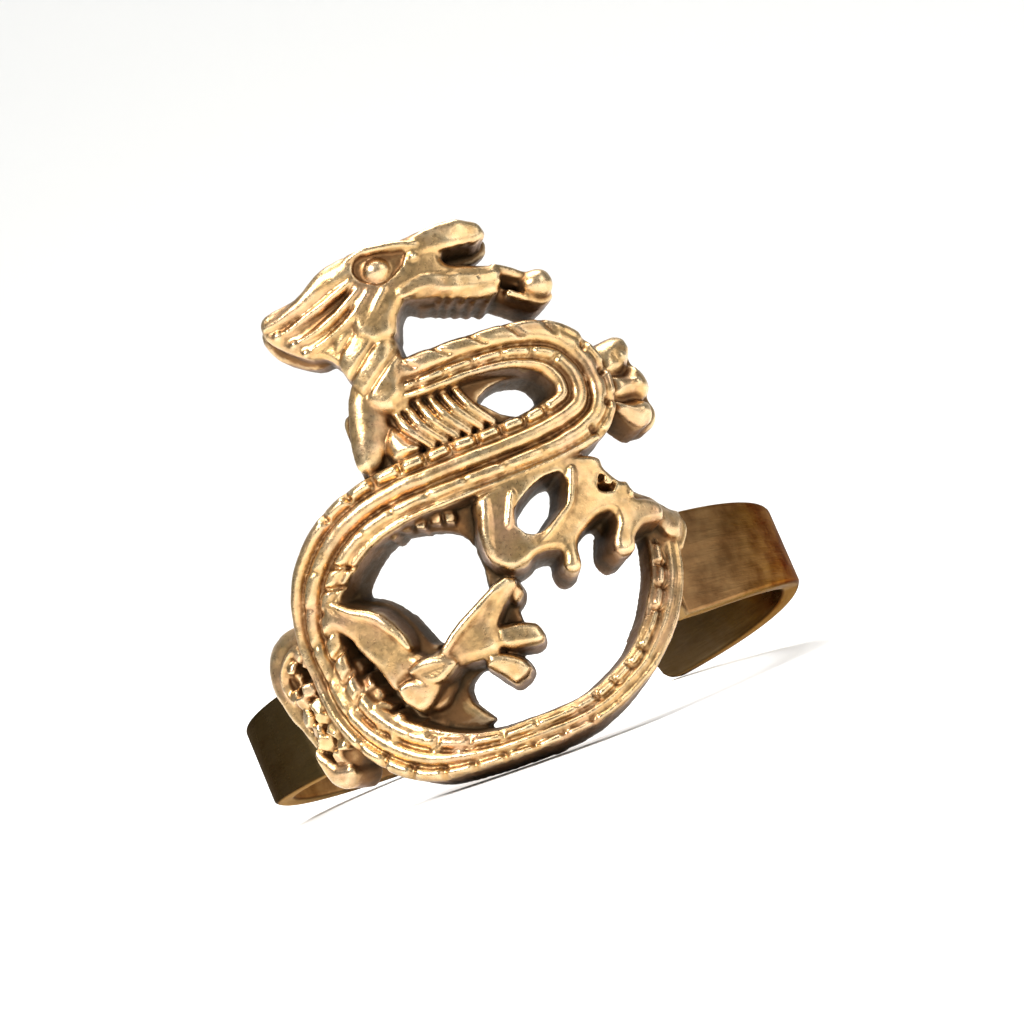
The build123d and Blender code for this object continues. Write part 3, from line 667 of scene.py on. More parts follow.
def lay_plates(relief, *plates):
    """Plates with soft edges, read from the front. Faces lean by millimetres a millimetre."""
    for high, soft, fall, lean_right, lean_up, outline in plates:
        spots = outline_from_front(outline, high)
        gap = relief.enclosed(spots)
        near = (1 - gap / soft).clip(0, 1)
        middle = np.mean(spots, axis=0)
        leaning = lean_right * (relief.rights - middle[0]) + lean_up * (relief.ups - middle[1])
        relief.raise_to(gap > 0, high + leaning - fall * near * near)


def lay_bead(relief, right, up, radius, high):
    """One round bead, read from the front."""
    right, up = slid(right, up, high)
    gap = np.hypot(relief.rights - right, relief.ups - up) / radius
    relief.raise_to(gap < 1, high - BEAD_ROUND * radius * (1 - np.sqrt((1 - gap * gap).clip(0))))


def lay_nugget(relief, right, up, radius, high, turn):
    """One nugget with slanted facets and a tilted flat top, read from the front."""
    right, up = slid(right, up, high)
    off_right, off_up = relief.rights - right, relief.ups - up
    gap = np.full(relief.height.shape, -np.inf)
    for n in range(NUGGET_SIDES):
        angle = turn + 2 * pi * n / NUGGET_SIDES + NUGGET_UNEVEN * sin(5 * n + turn)
        gap = np.maximum(gap, off_right * cos(angle) + off_up * sin(angle))
    slope = (gap - NUGGET_TOP * radius).clip(0) * NUGGET_SLOPE
    tilt = NUGGET_TILT * (off_right * cos(turn) + off_up * sin(turn))
    relief.raise_to(gap < radius, high + tilt - slope)


def cut_groove(relief, rows, high):
    """One groove with a round bottom in metal of that height, read from the front. Rows end with its depth."""
    rows = [slid(right, up, high) + (wide, deep) for right, up, wide, deep in rows]
    inside, _, side, _, depth, _ = relief.followed(rows)
    relief.cut_by(inside, depth * (1 - side * side))


def sink(relief, hollow):
    """Metal is lowered to a floor inside an outline read from the front at one height."""
    high, floor, outline = hollow
    gap = relief.enclosed(outline_from_front(outline, high))
    relief.height = np.where(gap > 0, np.minimum(relief.height, floor), relief.height)


def notch(run, side, pitch, slant, half, width=NOTCH_WIDTH):
    """How deep a row of cross cuts is at each place, from 0 to 1."""
    phase = (run + slant * side * half) / pitch % 1 - 0.5
    return np.exp(-((phase * pitch / width) ** 2))


def carve_body(relief):
    """The long body: three or four strands with grooves between them and notches across them."""
    inside, passed, side, half, high, run = relief.followed(in_hundredths(BODY_CUTS))
    height = high - BODY_FALL * rounded(side, BODY_FLAT)
    for rows in BODY_GROOVES:
        rows = np.array(rows)
        middle = np.interp(passed, rows[:, 0], rows[:, 1])
        depth = np.interp(passed, rows[:, 0], rows[:, 2])
        height = height - depth / (1 + ((side - middle) * half / GROOVE_WIDTH) ** 2)
    for first, last, low, top, pitch, depth, slant in BODY_NOTCHES:
        along = ((passed - first) * NOTCH_FADE).clip(0, 1) * ((last - passed) * NOTCH_FADE).clip(0, 1)
        across = ((side - low) * half / NOTCH_EDGE).clip(0, 1)
        across = across * ((top - side) * half / NOTCH_EDGE).clip(0, 1)
        height = height - depth * along * across * notch(run, side, pitch, slant, half)
    relief.raise_to(inside, height)


def carve_neck(relief):
    """The short neck with its slanted rings."""
    inside, _, side, half, high, run = relief.followed(in_hundredths(NECK_CUTS))
    depth, pitch, slant, width = NECK_RINGS
    rings = depth * notch(run, side, pitch, slant, half, width)
    relief.raise_to(inside, high - NECK_FALL * rounded(side, NECK_FLAT) - rings)


def carve_head(relief):
    """Skull, crest, jaws, eye and tongue."""
    lay_plates(relief, CREST_LIP, CREST_BASE, JAW_SHADE, MOUTH, JAW_FRONT, FACE)
    lay_from_front(relief, (SNOUT_STRAND, CHEEK_STRAND), fall=0.16, edge=0.3)
    teeth = [[(right, up) + TOOTH_TOP, (foot, foot_up) + TOOTH_FOOT] for right, up, foot, foot_up in TEETH]
    lay_from_front(relief, teeth, fall=0.08)
    lay_from_front(relief, TONGUE_STRANDS, fall=0.20)
    cut_groove(relief, TONGUE_GROOVE, high=1.8)
    lay_from_front(relief, CREST_STRANDS, fall=0.38)
    sink(relief, EYE)
    lay_from_front(relief, [BROW_STRAND], fall=0.16)


def carve_flank(relief):
    """The plate behind the neck, the ribs and the sunk floor under them."""
    lay_strands(relief, [in_hundredths(RIB_FLOOR_CUTS)], fall=0.05, edge=0.8)
    lay_plates(relief, FLANK_FLOOR, NECK_LEDGE)
    sink(relief, NECK_OPENING)
    for rib in range(RIB_COUNT):
        rows = [(r + rib * RIB_SPACING, u, w, h) for r, u, w, h in FIRST_RIB_CUTS]
        lay_strands(relief, [in_hundredths(rows)], fall=0.14)
    lay_plates(relief, WING, FLANK_PLATE)


def carve_hind_leg(relief):
    """Thigh, knee, shin with its spur, the webs beside them and two toes."""
    lay_strands(relief, [in_hundredths(PIT_FLOOR_CUTS)], fall=0.05, edge=0.8)
    lay_plates(relief, BEND_LEDGE, THIGH_LEDGE, WEB, SPUR_WEB, UPPER_TOE, LOWER_TOE)
    lay_plates(relief, KNEE_SIDE, KNEE, KNEE_TOP, SHIN, SPUR, THIGH)
    lay_from_front(relief, HIND_RIDGES, fall=0.20)


def carve_foreleg(relief):
    """Foreleg with its oval opening, its two toes, the hip and the web that carries it to the band."""
    lay_plates(relief, FORE_FLOOR, HIP_WEB, FORELEG)
    sink(relief, OVAL)
    sink(relief, HIP_PIT)
    lay_from_front(relief, FORE_RIDGES, fall=0.16)


def carve_shoulder(relief):
    """The plate at the left with its smooth border, its rim, the collar beside it and the hollow that the
    nuggets go in.
    """
    lay_plates(relief, SHOULDER)
    sink(relief, SHOULDER_PIT)
    lay_plates(relief, SHOULDER_BLOCK)
    cut_groove(relief, SHOULDER_GROOVE, high=1.4)
    lay_from_front(relief, [SHOULDER_RIM], fall=0.20)
    lay_from_front(relief, COLLAR_STRANDS, fall=0.16)


def carved_dragon(step):
    """The whole dragon carved in one relief."""
    relief = Relief(step)
    carve_shoulder(relief)
    carve_hind_leg(relief)
    carve_foreleg(relief)
    carve_flank(relief)
    lay_plates(relief, CLAW_FLOOR, CLAW_TOP, CLAW_MIDDLE, CLAW_LOW)
    carve_body(relief)
    carve_neck(relief)
    carve_head(relief)
    for bead in BEADS:
        lay_bead(relief, *bead)
    for n, nugget in enumerate(NUGGETS):
        lay_nugget(relief, *nugget, NUGGET_TURN * n)
    relief.draft()
    return relief


def wrapped(rights, ups, heights):
    """Places on the unrolled finger, wrapped round it in the ring's own millimetres."""
    turn = rights / GIRTH_RADIUS
    radius = bore_radius() + heights
    return np.stack([radius * np.sin(turn), -radius * np.cos(turn), ups], axis=-1)


def unrolled(points):
    """Points' places on the unrolled finger, in millimetres, and the way out from the bore at each."""
    radius = np.hypot(points[:, 0], points[:, 1])
    rights = np.arctan2(points[:, 0], -points[:, 1]) * GIRTH_RADIUS
    return rights, points[:, 2], radius - bore_radius(), points[:, :2] / radius[:, None]


def eased(ups):
    """How far the dragon's back stands off the finger: only the band's own height bears on it."""
    return np.where((ups > BEARING_LOW) & (ups < BEARING_HIGH), 0.0, BACK_EASE)


def mesh_of(name, points, faces):
    """A mesh from arrays of points and of faces with equally many corners."""
    mesh = bpy.data.meshes.new(name)
    count, corners = faces.shape
    mesh.vertices.add(len(points))
    move_to(mesh, points)
    mesh.loops.add(count * corners)
    mesh.loops.foreach_set("vertex_index", faces.astype(np.int32).ravel())
    mesh.polygons.add(count)
    mesh.polygons.foreach_set("loop_start", np.arange(0, count * corners, corners, dtype=np.int32))
    mesh.update(calc_edges=True)
    mesh.validate()
    return mesh


def relief_block(relief, name):
    """Closed block between the carved relief and the bore."""
    solid = relief.height > THINNEST
    cells = solid[:-1, :-1] & solid[1:, :-1] & solid[:-1, 1:] & solid[1:, 1:]
    used = np.zeros(solid.shape, bool)
    rows, columns = cells.shape
    for i, j in ((0, 0), (0, 1), (1, 0), (1, 1)):
        used[i:rows + i, j:columns + j] |= cells
    count = int(used.sum())
    number = np.full(solid.shape, -1)
    number[used] = np.arange(count)
    rights, ups, height = relief.rights[used], relief.ups[used], relief.height[used]
    points = np.vstack([wrapped(rights, ups, height), wrapped(rights, ups, eased(ups))])
    i, j = np.nonzero(cells)
    top = np.stack([number[i, j], number[i + 1, j], number[i + 1, j + 1], number[i, j + 1]], axis=1)
    faces = [top, top[:, ::-1] + count]
    padded = np.pad(cells, 1)
    for step_i, step_j, start, stop in ((0, -1, (0, 0), (1, 0)), (1, 0, (1, 0), (1, 1)),
                                        (0, 1, (1, 1), (0, 1)), (-1, 0, (0, 1), (0, 0))):
        beside = padded[1 + step_i:1 + step_i + rows, 1 + step_j:1 + step_j + columns]
        i, j = np.nonzero(cells & ~beside)
        a = number[i + start[0], j + start[1]]
        b = number[i + stop[0], j + stop[1]]
        faces.append(np.stack([b, a, a + count, b + count], axis=1))
    return mesh_of(name, points, np.vstack(faces))


def modified(mesh, kind, **settings):
    """The mesh after one modifier."""
    work = bpy.data.objects.new("work", mesh)
    bpy.context.scene.collection.objects.link(work)
    modifier = work.modifiers.new("work", kind)
    for name, value in settings.items():
        setattr(modifier, name, value)
    bpy.context.view_layer.update()
    result = bpy.data.meshes.new_from_object(work.evaluated_get(bpy.context.evaluated_depsgraph_get()))
    bpy.data.objects.remove(work)
    bpy.data.meshes.remove(mesh)
    return result


def array_of(items, name, columns):
    """One property of a mesh's points or edges as an array."""
    values = np.zeros(len(items) * columns, np.int32 if name == "vertices" else np.float32)
    items.foreach_get(name, values)
    return values.reshape(-1, columns)


def points_and_edges(mesh):
    """A mesh's points and edges as arrays."""
    return array_of(mesh.vertices, "co", 3).astype(float), array_of(mesh.edges, "vertices", 2)


def move_to(mesh, points):
    """Moves a mesh's points."""
    mesh.vertices.foreach_set("co", points.astype(np.float32).ravel())


def evened(values, edges, rounds):
    """Values or points, each moved towards the mean of its neighbours a number of times."""
    values = np.array(values, float)
    flat = values.ndim == 1
    columns = values[:, None] if flat else values
    near = np.bincount(edges.ravel(), minlength=len(values))[:, None].clip(1)
    for _ in range(rounds):
        sums = np.stack([
            np.bincount(edges[:, 0], columns[edges[:, 1], n], len(values))
            + np.bincount(edges[:, 1], columns[edges[:, 0], n], len(values))
            for n in range(columns.shape[1])
        ], axis=1)
        columns = columns + EVEN_SHARE * (sums / near - columns)
    return columns[:, 0] if flat else columns


def grained(points, size, depth, seed):
    """Small even roughness of cast metal."""
    place = Vector((seed, 2.7 * seed, 5.1 * seed))
    return depth * np.array([noise.noise(Vector(p) / size + place) for p in points])


def cast_skin(mesh, step, most):
    """Casts a closed block into one even skin, with the soft corners and the grain that casting leaves."""
    mesh = modified(mesh, "REMESH", mode="VOXEL", voxel_size=step, use_smooth_shade=True)
    points, edges = points_and_edges(mesh)
    points = evened(points, edges, EVEN_ROUNDS)
    move_to(mesh, points)
    mesh.update()
    normals = array_of(mesh.vertices, "normal", 3)
    wander = sum(grained(points, *grain) for grain in GRAINS)
    heights = unrolled(points)[2]
    outside = ((heights - BORE_CLEAR) / BORE_BLEND).clip(0, 1)
    move_to(mesh, points + normals * (wander * outside)[:, None])
    mesh.update()
    triangles = sum(len(polygon.vertices) - 2 for polygon in mesh.polygons)
    if triangles > most:
        mesh = modified(mesh, "DECIMATE", ratio=most / triangles)
    return mesh


def brimmed(relief, reach):
    """The height of the metal's brim round each place, softened."""
    brim = relief.height
    rows, columns = brim.shape
    rounds = int(reach / relief.step)
    for _ in range(rounds):
        padded = np.pad(brim, 1, mode="edge")
        brim = np.max([padded[i:i + rows, j:j + columns] for i in range(3) for j in range(3)], axis=0)
    for _ in range(rounds):
        padded = np.pad(brim, 1, mode="edge")
        brim = (padded[:-2, 1:-1] + padded[2:, 1:-1] + padded[1:-1, :-2] + padded[1:-1, 2:]) / 4
    return brim


def paint(mesh, name, values):
    """Writes one number or vector for each point of a mesh."""
    values = np.asarray(values, np.float32)
    kind = "FLOAT" if values.ndim == 1 else "FLOAT_VECTOR"
    attribute = mesh.attributes.new(name, kind, "POINT")
    attribute.data.foreach_set("value" if values.ndim == 1 else "vector", values.ravel())


def paint_place(mesh):
    """Marks on each point where it lies when unrolled and how much it faces inwards. Gives how it faces out."""
    rights, ups, heights, outward = unrolled(points_and_edges(mesh)[0])
    facing = (array_of(mesh.vertices, "normal", 3)[:, :2] * outward).sum(axis=1)
    paint(mesh, "inside", (-facing).clip(0, 1))
    paint(mesh, "unrolled", np.stack([rights, ups, heights], axis=1))
    return facing


def paint_casting(mesh, relief):
    """Marks on each point how sunk it is, with painted shade on walls, and how pale its edge is: brass rubbed
    bare, and a painted highlight where it faces out.
    """
    facing = paint_place(mesh)
    points, edges = points_and_edges(mesh)
    normals = array_of(mesh.vertices, "normal", 3)
    near = ((evened(points, edges, NEAR_ROUNDS) - points) * normals).sum(axis=1)
    broad = ((evened(points, edges, BROAD_ROUNDS) - points) * normals).sum(axis=1)
    rights, ups, heights, _ = unrolled(points)
    left, _, bottom, _ = DRAWING
    brim = brimmed(relief, BRIM_REACH)
    i = ((rights - left) / relief.step).astype(int).clip(0, brim.shape[0] - 1)
    j = ((ups - bottom) / relief.step).astype(int).clip(0, brim.shape[1] - 1)
    recess_and_wall_shade = SUNK_COUNTS * ((brim[i, j] - heights) / SUNK_DEPTH).clip(0, MOST_SUNK)
    # Painted shade: walls that turn away from the outside are darkened as if in shadow
    recess_and_wall_shade = recess_and_wall_shade + WALL_SHADE_COUNTS * (1 - facing.clip(0, 1))
    recess_and_wall_shade = recess_and_wall_shade + NEAR_COUNTS * near.clip(*NEAR_LIMITS) + BROAD_COUNTS * broad.clip(*BROAD_LIMITS)
    recess_and_wall_shade = np.where(facing < FACES_BORE, BORE_RECESS, recess_and_wall_shade)
    paint(mesh, "recess_and_wall_shade", evened(recess_and_wall_shade, edges, 1).clip(0, 1))
    # Pale edges on convex places that face out: brass rubbed bare, and a painted highlight
    paint(mesh, "pale_edges", (-NEAR_WEAR_AND_HIGHLIGHT * near - BROAD_WEAR_AND_HIGHLIGHT * broad).clip(0, 1) * facing.clip(0, 1))


def placed(name, mesh, material):
    """Lays a finished mesh in the ring's rest, and ties it to the solid that it stands for."""
    mesh.transform(resting())
    mesh.name = name
    mesh.shade_smooth()
    piece = bpy.data.objects.new(name, mesh)
    bpy.context.scene.collection.objects.link(piece)
    mesh.materials.append(material)
    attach(piece, BODY)
    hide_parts(NODE)


def add_node(tree, kind, settings=None, result=0, **links):
    """Adds a node with its settings and sockets, links what is another node's result, and gives its own.

    A socket is given by its name, or by n and its number.
    """
    node = tree.nodes.new(kind)
    for name, value in (settings or {}).items():
        setattr(node, name, value)
    for name, value in links.items():
        socket = node.inputs[int(name[1:]) if name[1:].isdigit() else name.replace("_", " ")]
        if isinstance(value, bpy.types.NodeSocket):
            tree.links.new(value, socket)
        else:
            socket.default_value = value
    return node.outputs[result] if node.outputs else None


def layered(tree, colour, layers):
    """Colours laid over one another. Each one's share grows to its most as its value goes from low to high."""
    for value, low, high, most, over in layers:
        share = add_node(tree, RANGE, n0=value, n1=low, n2=high, n4=most)
        colour = add_node(tree, MIX, {"data_type": "RGBA"}, MIXED_COLOUR, n0=share, n6=colour, n7=over)
    return colour


def summed(tree, rows):
    """The sum of values, each first moved from one range to another."""
    total = 0.0
    for value, low, high, to_low, to_high in rows:
        part = add_node(tree, RANGE, n0=value, n1=low, n2=high, n3=to_low, n4=to_high)
        total = add_node(tree, MATH, {"operation": "ADD"}, n0=total, n1=part)
    return total


def started(name):
    """A new material with no node in it yet."""
    material = bpy.data.materials.new(name)
    material.use_nodes = True
    material.node_tree.nodes.clear()
    return material, material.node_tree


def surfaced(tree, bumps, strength, depth, **sockets):
    """Ends a metal with its bumps, its shader and its output."""
    fine = add_node(tree, "ShaderNodeBump", Strength=strength, Distance=depth, Height=bumps)
    shader = add_node(tree, "ShaderNodeBsdfPrincipled", Normal=fine, **sockets)
    add_node(tree, "ShaderNodeOutputMaterial", Surface=shader)


def worn_cast_brass(colours):
    """Cast brass, tumbled and then darkened with liver of sulphur and rubbed back by wear.

    Ridges that face out are a pale warm gold with soft, short highlights: partly brass rubbed bare, partly a
    painted highlight. Flat faces keep a tan, in places pinkish, skin. Grooves hold red-brown oxide, and deep
    walls are nearly black olive and quite dull; every wall is also darkened by painted shade.
    """
    material, tree = started("worn_cast_brass")
    recess_and_wall_shade, pale_edges, inside = [
        add_node(tree, ATTRIBUTE, {"attribute_name": name}, "Fac") for name in ("recess_and_wall_shade", "pale_edges", "inside")
    ]
    place = add_node(tree, ATTRIBUTE, {"attribute_name": "unrolled"}, "Vector")
    # unrolled is in millimetres: patches are 1.8 mm across, mottling 0.5 mm and pores 0.12 mm
    patches = add_node(tree, NOISE, Vector=place, Scale=0.55, Detail=3.0, Roughness=0.55)
    mottle = add_node(tree, NOISE, Vector=place, Scale=1.9, Detail=4.0, Roughness=0.6)
    pores = add_node(tree, NOISE, Vector=place, Scale=8.0, Detail=3.0, Roughness=0.65)
    # Tarnish and the painted shade on walls start unevenly, and the pale edges, rubbed brass with a painted
    # highlight, take the rims of the pores before their floors
    sunk = summed(tree, [(recess_and_wall_shade, 0, 1, 0, 1), (mottle, 0.3, 0.7, -0.10, 0.10)])
    worn_and_highlit = add_node(tree, RANGE, n0=pale_edges, n1=0.06, n2=0.50)
    rims = add_node(tree, RANGE, n0=pores, n1=0.30, n2=0.55, n3=0.55)
    rubbed_and_highlit = add_node(tree, MATH, {"operation": "MULTIPLY"}, n0=worn_and_highlit, n1=rims)
    bored = layered(tree, linear(colours.bore), [(mottle, 0.35, 0.65, 1, linear(colours.copper))])
    colour = layered(tree, linear(colours.tan), [
        (patches, 0.48, 0.66, 0.7, linear(colours.pinkish)),
        (mottle, 0.42, 0.66, 0.6, linear(colours.olive)),
        # In hollows these are red-brown oxide and dark tarnish; on walls the same colours are painted shade
        (sunk, 0.18, 0.42, 1, linear(colours.copper)),
        (sunk, 0.46, 0.95, 1, linear(colours.tarnish_and_shade)),
        # Pale gold on ridges: brass rubbed bare, and a painted highlight
        (rubbed_and_highlit, 0, 1, 1, linear(colours.bright)),
        (inside, 0.5, 0.9, 1, bored),
    ])
    dull = summed(tree, [(sunk, 0.10, 0.75, 0.30, 0.55), (pores, 0.3, 0.7, -0.05, 0.08),
                         (rubbed_and_highlit, 0, 1, 0, -0.08)])
    metal = add_node(tree, RANGE, n0=sunk, n1=0.35, n2=0.9, n3=1.0, n4=0.80)
    surfaced(tree, pores, 0.35, 0.03 * MM, Base_Color=colour, Metallic=metal, Roughness=dull)
    return material


def flat_band_brass(colours):
    """Rolled brass strip, bent and left with the same tarnish, rubbed by skin.

    It is a greyish brown with long dark olive streaks along the girth, fine bending scratches and a paler,
    tan rim where cloth and fingers rub it. Painted shade turns the left arm greenish black soon after its
    start and darkens the right one towards the back.
    """
    material, tree = started("tarnished_rolled_brass")
    pale_edges, inside = [add_node(tree, ATTRIBUTE, {"attribute_name": name}, "Fac") for name in ("pale_edges", "inside")]
    place = add_node(tree, ATTRIBUTE, {"attribute_name": "unrolled"}, "Vector")
    # unrolled is in millimetres: streaks run 4 mm along the girth and are 0.4 mm wide, scratches 0.05 mm
    along = add_node(tree, MAPPING, Vector=place, Scale=(0.25, 2.4, 1.0))
    thin = add_node(tree, MAPPING, Vector=place, Scale=(1.2, 20.0, 1.0))
    streaks = add_node(tree, NOISE, Vector=along, Scale=1.0, Detail=5.0, Roughness=0.6)
    mottle = add_node(tree, NOISE, Vector=place, Scale=0.9, Detail=4.0, Roughness=0.6)
    scratches = add_node(tree, NOISE, Vector=thin, Scale=1.0, Detail=2.0)
    across = add_node(tree, "ShaderNodeSeparateXYZ", Vector=place)
    bored = layered(tree, linear(colours.bore), [(mottle, 0.35, 0.65, 1, linear(colours.copper))])
    colour = layered(tree, linear(colours.band), [
        (mottle, 0.38, 0.62, 1, linear(colours.olive)),
        (streaks, 0.48, 0.66, 0.85, linear(colours.tarnish_and_shade)),
        # Painted shade: the right arm darkens towards the back
        (across, 10.0, 14.5, 0.85, linear(colours.tarnish_and_shade)),
        # Painted shade: the left arm turns greenish black from 8 mm left of the front
        (across, -8.0, -9.2, 0.92, linear(colours.left_arm_shade)),
        (pale_edges, 0.3, 0.9, 0.7, linear(colours.tan)),
        (inside, 0.5, 0.9, 1, bored),
    ])
    dull = summed(tree, [(streaks, 0.4, 0.7, 0.34, 0.50), (scratches, 0.3, 0.7, -0.05, 0.05),
                         (across, -8.0, -9.2, 0, 0.16)])
    surfaced(tree, scratches, 0.25, 0.02 * MM, Base_Color=colour, Metallic=1.0, Roughness=dull,
             Specular_Tint=linear(colours.band))
    return material


def strip_section(outer, inner):
    """The strip's section in four rounded corners: radius, whether at the top, how far in from that edge."""
    quarter = np.linspace(0, pi / 2, ARM_EDGE_STEPS)
    section = []
    for out, up in ((1, 1), (0, 1), (0, 0), (1, 0)):
        for angle in (quarter if out == up else quarter[::-1]):
            cut = ARM_EDGE * (1 - cos(angle))
            section.append((outer - cut if out else inner + cut, up, ARM_EDGE * (1 - sin(angle))))
    return section


def band_arm(edges, start, end, sizes):
    """One arm of the band as a closed skin: rounded strip edges whose heights change along the arm, and a
    rounded end.
    """
    width, corner = sizes.band_width / MM, sizes.band_end_round / MM
    inner, outer = bore_radius() + ARM_CLEAR, bore_radius() + sizes.band_wall / MM
    edges = np.array(edges)
    turns = np.radians(np.linspace(start, end, ARM_RINGS))
    back = -np.cos(turns)
    low = np.interp(back, edges[:, 0], edges[:, 1]) * width
    high = np.interp(back, edges[:, 0], edges[:, 2]) * width
    left = np.abs(turns - turns[-1]) * outer
    inset = corner - np.sqrt((corner ** 2 - (corner - left).clip(0) ** 2).clip(0))
    points = np.array([
        [(radius * sin(turn), -radius * cos(turn), top - down if up else bottom + down)
         for radius, up, down in strip_section(outer, inner)]
        for turn, bottom, top in zip(turns, low + inset, high - inset)
    ])
    count, corners, _ = points.shape
    number = np.arange(count * corners).reshape(count, corners)
    after = np.roll(number, -1, axis=1)
    faces = np.stack([number[:-1], after[:-1], after[1:], number[1:]], axis=-1).reshape(-1, 4)
    points = np.vstack([points.reshape(-1, 3), points[[0, -1]].mean(axis=1)])
    caps = [np.stack([after[0], number[0], 0 * number[0] + len(points) - 2], axis=1),
            np.stack([number[-1], after[-1], 0 * number[0] + len(points) - 1], axis=1)]
    mesh = bpy.data.meshes.new("band")
    mesh.from_pydata(points.tolist(), [], faces.tolist() + np.vstack(caps).tolist())
    mesh.validate()
    return mesh


class DragonRingSizes(bpy.types.PropertyGroup):
    """Sizes of the visible metal."""

    band_wall: FloatProperty(
        name="Band wall", description="Thickness of the flat band",
        default=0.75 * MM, unit="LENGTH", precision=5
    )
    band_width: FloatProperty(
        name="Band width", description="Width that the band's edges are shares of",
        default=3.45 * MM, unit="LENGTH", precision=5
    )
    band_end_round: FloatProperty(
        name="Band end round", description="Corner radius at the ends of the band",
        default=0.7 * MM, unit="LENGTH", precision=5
    )
    right_arm_end: FloatProperty(
        name="Right arm end", description="Turn from the front where the right arm ends",
        default=radians(152), subtype="ANGLE"
    )
    left_arm_end: FloatProperty(
        name="Left arm end", description="Turn from the front where the left arm ends",
        default=radians(199), subtype="ANGLE"
    )


class DragonRingColours(bpy.types.PropertyGroup):
    """Colours of the brass and the stage, as sRGB hex values."""

    # Pale gold of the ridges: rubbed brass, and a painted highlight
    bright: StringProperty(name="Bright", description="Brass rubbed bare on the ridges", default="#F2DDB4")
    tan: StringProperty(name="Tan", description="Thin golden tarnish on open faces", default="#C9A26E")
    pinkish: StringProperty(name="Pinkish", description="Copper-rich patches of the casting", default="#C09676")
    olive: StringProperty(name="Olive", description="Greenish brown film", default="#7A6644")
    copper: StringProperty(name="Copper", description="Red-brown oxide in grooves", default="#765434")
    # Dark sulphide in recesses, and painted shade on walls and towards the back of the band's right arm
    tarnish_and_shade: StringProperty(name="Tarnish", description="Dark sulphide in deep recesses", default="#41301A")
    bore: StringProperty(name="Bore", description="Brown-tan metal inside the hollow", default="#A07A50")
    band: StringProperty(name="Band", description="Greyish brown skin of the band", default="#85745D")
    # Painted shade on the left arm: it is darkened as if it lay in shadow
    left_arm_shade: StringProperty(name="Night", description="Greenish black film on the left arm", default="#3A301E")
    floor: StringProperty(name="Floor", description="Pale studio floor", default="#F6F5F2")


class DRAGONRING_OT_casting(bpy.types.Operator):
    """Carve the dragon's relief, wrap it round the finger and cast it in worn brass"""

    bl_idname = "dragon_ring.casting"
    bl_label = "Dragon Casting"

    def execute(self, context):
        coarser = 1.0
        relief = carved_dragon(CARVE_STEP * coarser)
        mesh = cast_skin(relief_block(relief, "relief"), CAST_STEP * coarser, MOST_TRIANGLES)
        paint_casting(mesh, relief)
        placed("dragon_casting", mesh, worn_cast_brass(context.scene.dragon_ring_colours))
        return {"FINISHED"}


class DRAGONRING_OT_band(bpy.types.Operator):
    """Bend the flat band's two arms, with their gap at the back of the finger"""

    bl_idname = "dragon_ring.band"
    bl_label = "Flat Band"

    def execute(self, context):
        sizes = context.scene.dragon_ring_sizes
        material = flat_band_brass(context.scene.dragon_ring_colours)
        arms = (
            ("band_right_arm", RIGHT_ARM_EDGES, RIGHT_ARM_START, sizes.right_arm_end * 180 / pi),
            ("band_left_arm", LEFT_ARM_EDGES, LEFT_ARM_START, sizes.left_arm_end * 180 / pi),
        )
        for name, edges, start, end in arms:
            mesh = band_arm(edges, start, end, sizes)
            paint(mesh, "pale_edges", (1 - np.abs(paint_place(mesh))).clip(0, 1))
            placed(name, mesh, material)
        return {"FINISHED"}


def matt_painted_board(colour):
    """Board painted with matt emulsion: even, pale and with no shine, so only a soft shadow shows on it."""
    material = bpy.data.materials.new("matt_painted_board")
    material.use_nodes = True
    shader = material.node_tree.nodes["Principled BSDF"]
    shader.inputs["Base Color"].default_value = linear(colour)
    shader.inputs["Roughness"].default_value = 0.8
    return material


def studio_floor(material):
    """Floor that bends up behind the ring into a wall."""
    sweep = [(FLOOR_FRONT, 0.0), (FLOOR_BEND, 0.0)]
    turns = np.linspace(0.1, pi / 2, BEND_STEPS)
    sweep += [(FLOOR_BEND * (1 + sin(a)), FLOOR_BEND * (1 - cos(a))) for a in turns]
    sweep += [(2 * FLOOR_BEND, FLOOR_HIGH)]
    points = [(side * FLOOR_SIDE, back, up) for back, up in sweep for side in (-1, 1)]
    faces = [(2 * n, 2 * n + 1, 2 * n + 3, 2 * n + 2) for n in range(len(sweep) - 1)]
    mesh = bpy.data.meshes.new("floor")
    mesh.from_pydata(points, [], faces)
    mesh.shade_smooth()
    mesh.materials.append(material)
    return bpy.data.objects.new("floor", mesh)


def camera_place():
    """The camera's place: the finger's axis leans back in its view, and the ring is rolled to the left."""
    tilt = radians(LOOK_TILT)
    right = Vector((1, 0, 0))
    back = Vector((0, -cos(tilt), -sin(tilt)))
    up = Vector((0, -sin(tilt), cos(tilt)))
    level, rolled = LOOK_ROLL
    turn = Matrix((right * level - up * rolled, right * rolled + up * level, back)).transposed()
    rest = resting()
    place = rest @ (right * LOOK_AT[0] + up * LOOK_AT[1] + back * LOOK_DISTANCE)
    return Matrix.Translation(place) @ (rest.to_3x3().normalized() @ turn).to_4x4()


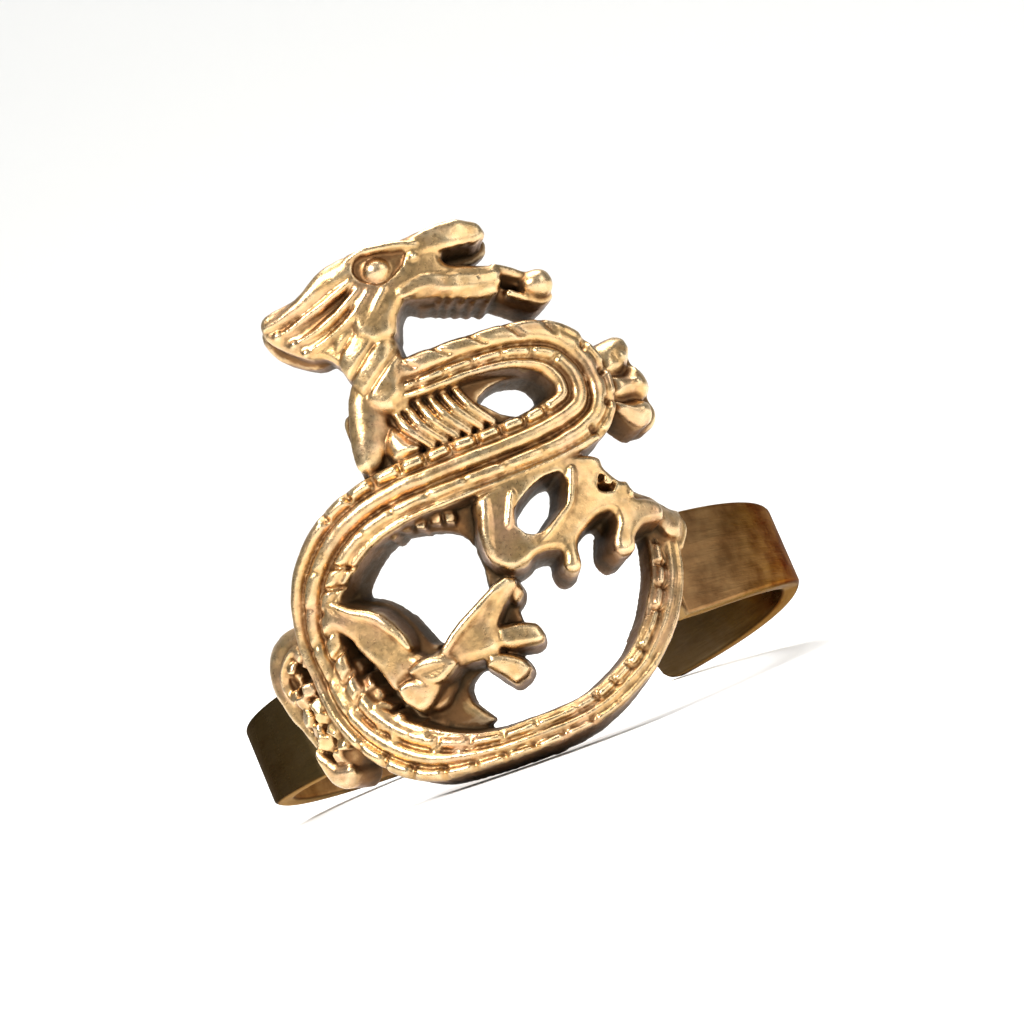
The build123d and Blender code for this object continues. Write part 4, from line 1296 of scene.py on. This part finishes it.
class DRAGONRING_OT_stage(bpy.types.Operator):
    """Set the pale floor, the soft lights and the camera at the photograph's viewing angle"""

    bl_idname = "dragon_ring.stage"
    bl_label = "Stage"

    def execute(self, context):
        scene = context.scene
        floor = studio_floor(matt_painted_board(scene.dragon_ring_colours.floor))
        scene.collection.objects.link(floor)

        scene.world = bpy.data.worlds.new("studio_air")
        scene.world.use_nodes = True
        air = scene.world.node_tree.nodes["Background"]
        air.inputs["Color"].default_value = AIR_COLOUR
        air.inputs["Strength"].default_value = AIR_STRENGTH
        for name, place, size, power in LAMPS:
            light = bpy.data.lights.new(name, "AREA")
            light.size = size
            light.energy = power
            lamp = bpy.data.objects.new(name, light)
            lamp.location = place
            lamp.rotation_euler = (Vector(LAMPS_AIM) - Vector(place)).to_track_quat("-Z", "Y").to_euler()
            scene.collection.objects.link(lamp)

        lens_view = bpy.data.cameras.new("camera")
        lens_view.lens = LENS
        lens_view.sensor_width = SENSOR_WIDTH
        lens_view.clip_start = 0.005
        lens_view.clip_end = 10
        camera = bpy.data.objects.new("camera", lens_view)
        camera.matrix_world = camera_place()
        scene.collection.objects.link(camera)
        scene.camera = camera
        scene.view_settings.view_transform = "Standard"
        return {"FINISHED"}


class DRAGONRING_PT_panel(bpy.types.Panel):
    """Lists the ring's pieces, sizes and colours."""

    bl_label = "Dragon Ring"
    bl_idname = "DRAGONRING_PT_panel"
    bl_space_type = "VIEW_3D"
    bl_region_type = "UI"
    bl_category = "Dragon Ring"

    def draw(self, context):
        for group in (context.scene.dragon_ring_sizes, context.scene.dragon_ring_colours):
            for name in group.bl_rna.properties.keys():
                if name not in ("rna_type", "name"):
                    self.layout.prop(group, name)
        for operator in (DRAGONRING_OT_casting, DRAGONRING_OT_band, DRAGONRING_OT_stage):
            self.layout.operator(operator.bl_idname)


CLASSES = (
    DragonRingSizes,
    DragonRingColours,
    DRAGONRING_OT_casting,
    DRAGONRING_OT_band,
    DRAGONRING_OT_stage,
    DRAGONRING_PT_panel,
)


def register():
    """Adds the ring's classes and its settings to Blender."""
    for each in CLASSES:
        bpy.utils.register_class(each)
    bpy.types.Scene.dragon_ring_sizes = PointerProperty(type=DragonRingSizes)
    bpy.types.Scene.dragon_ring_colours = PointerProperty(type=DragonRingColours)


def unregister():
    """Takes them out again."""
    del bpy.types.Scene.dragon_ring_colours
    del bpy.types.Scene.dragon_ring_sizes
    for each in reversed(CLASSES):
        bpy.utils.unregister_class(each)


def main():
    """Builds every piece and the stage."""
    register()
    bpy.ops.dragon_ring.stage()
    bpy.ops.dragon_ring.band()
    bpy.ops.dragon_ring.casting()


if __name__ == "__main__":
    main()
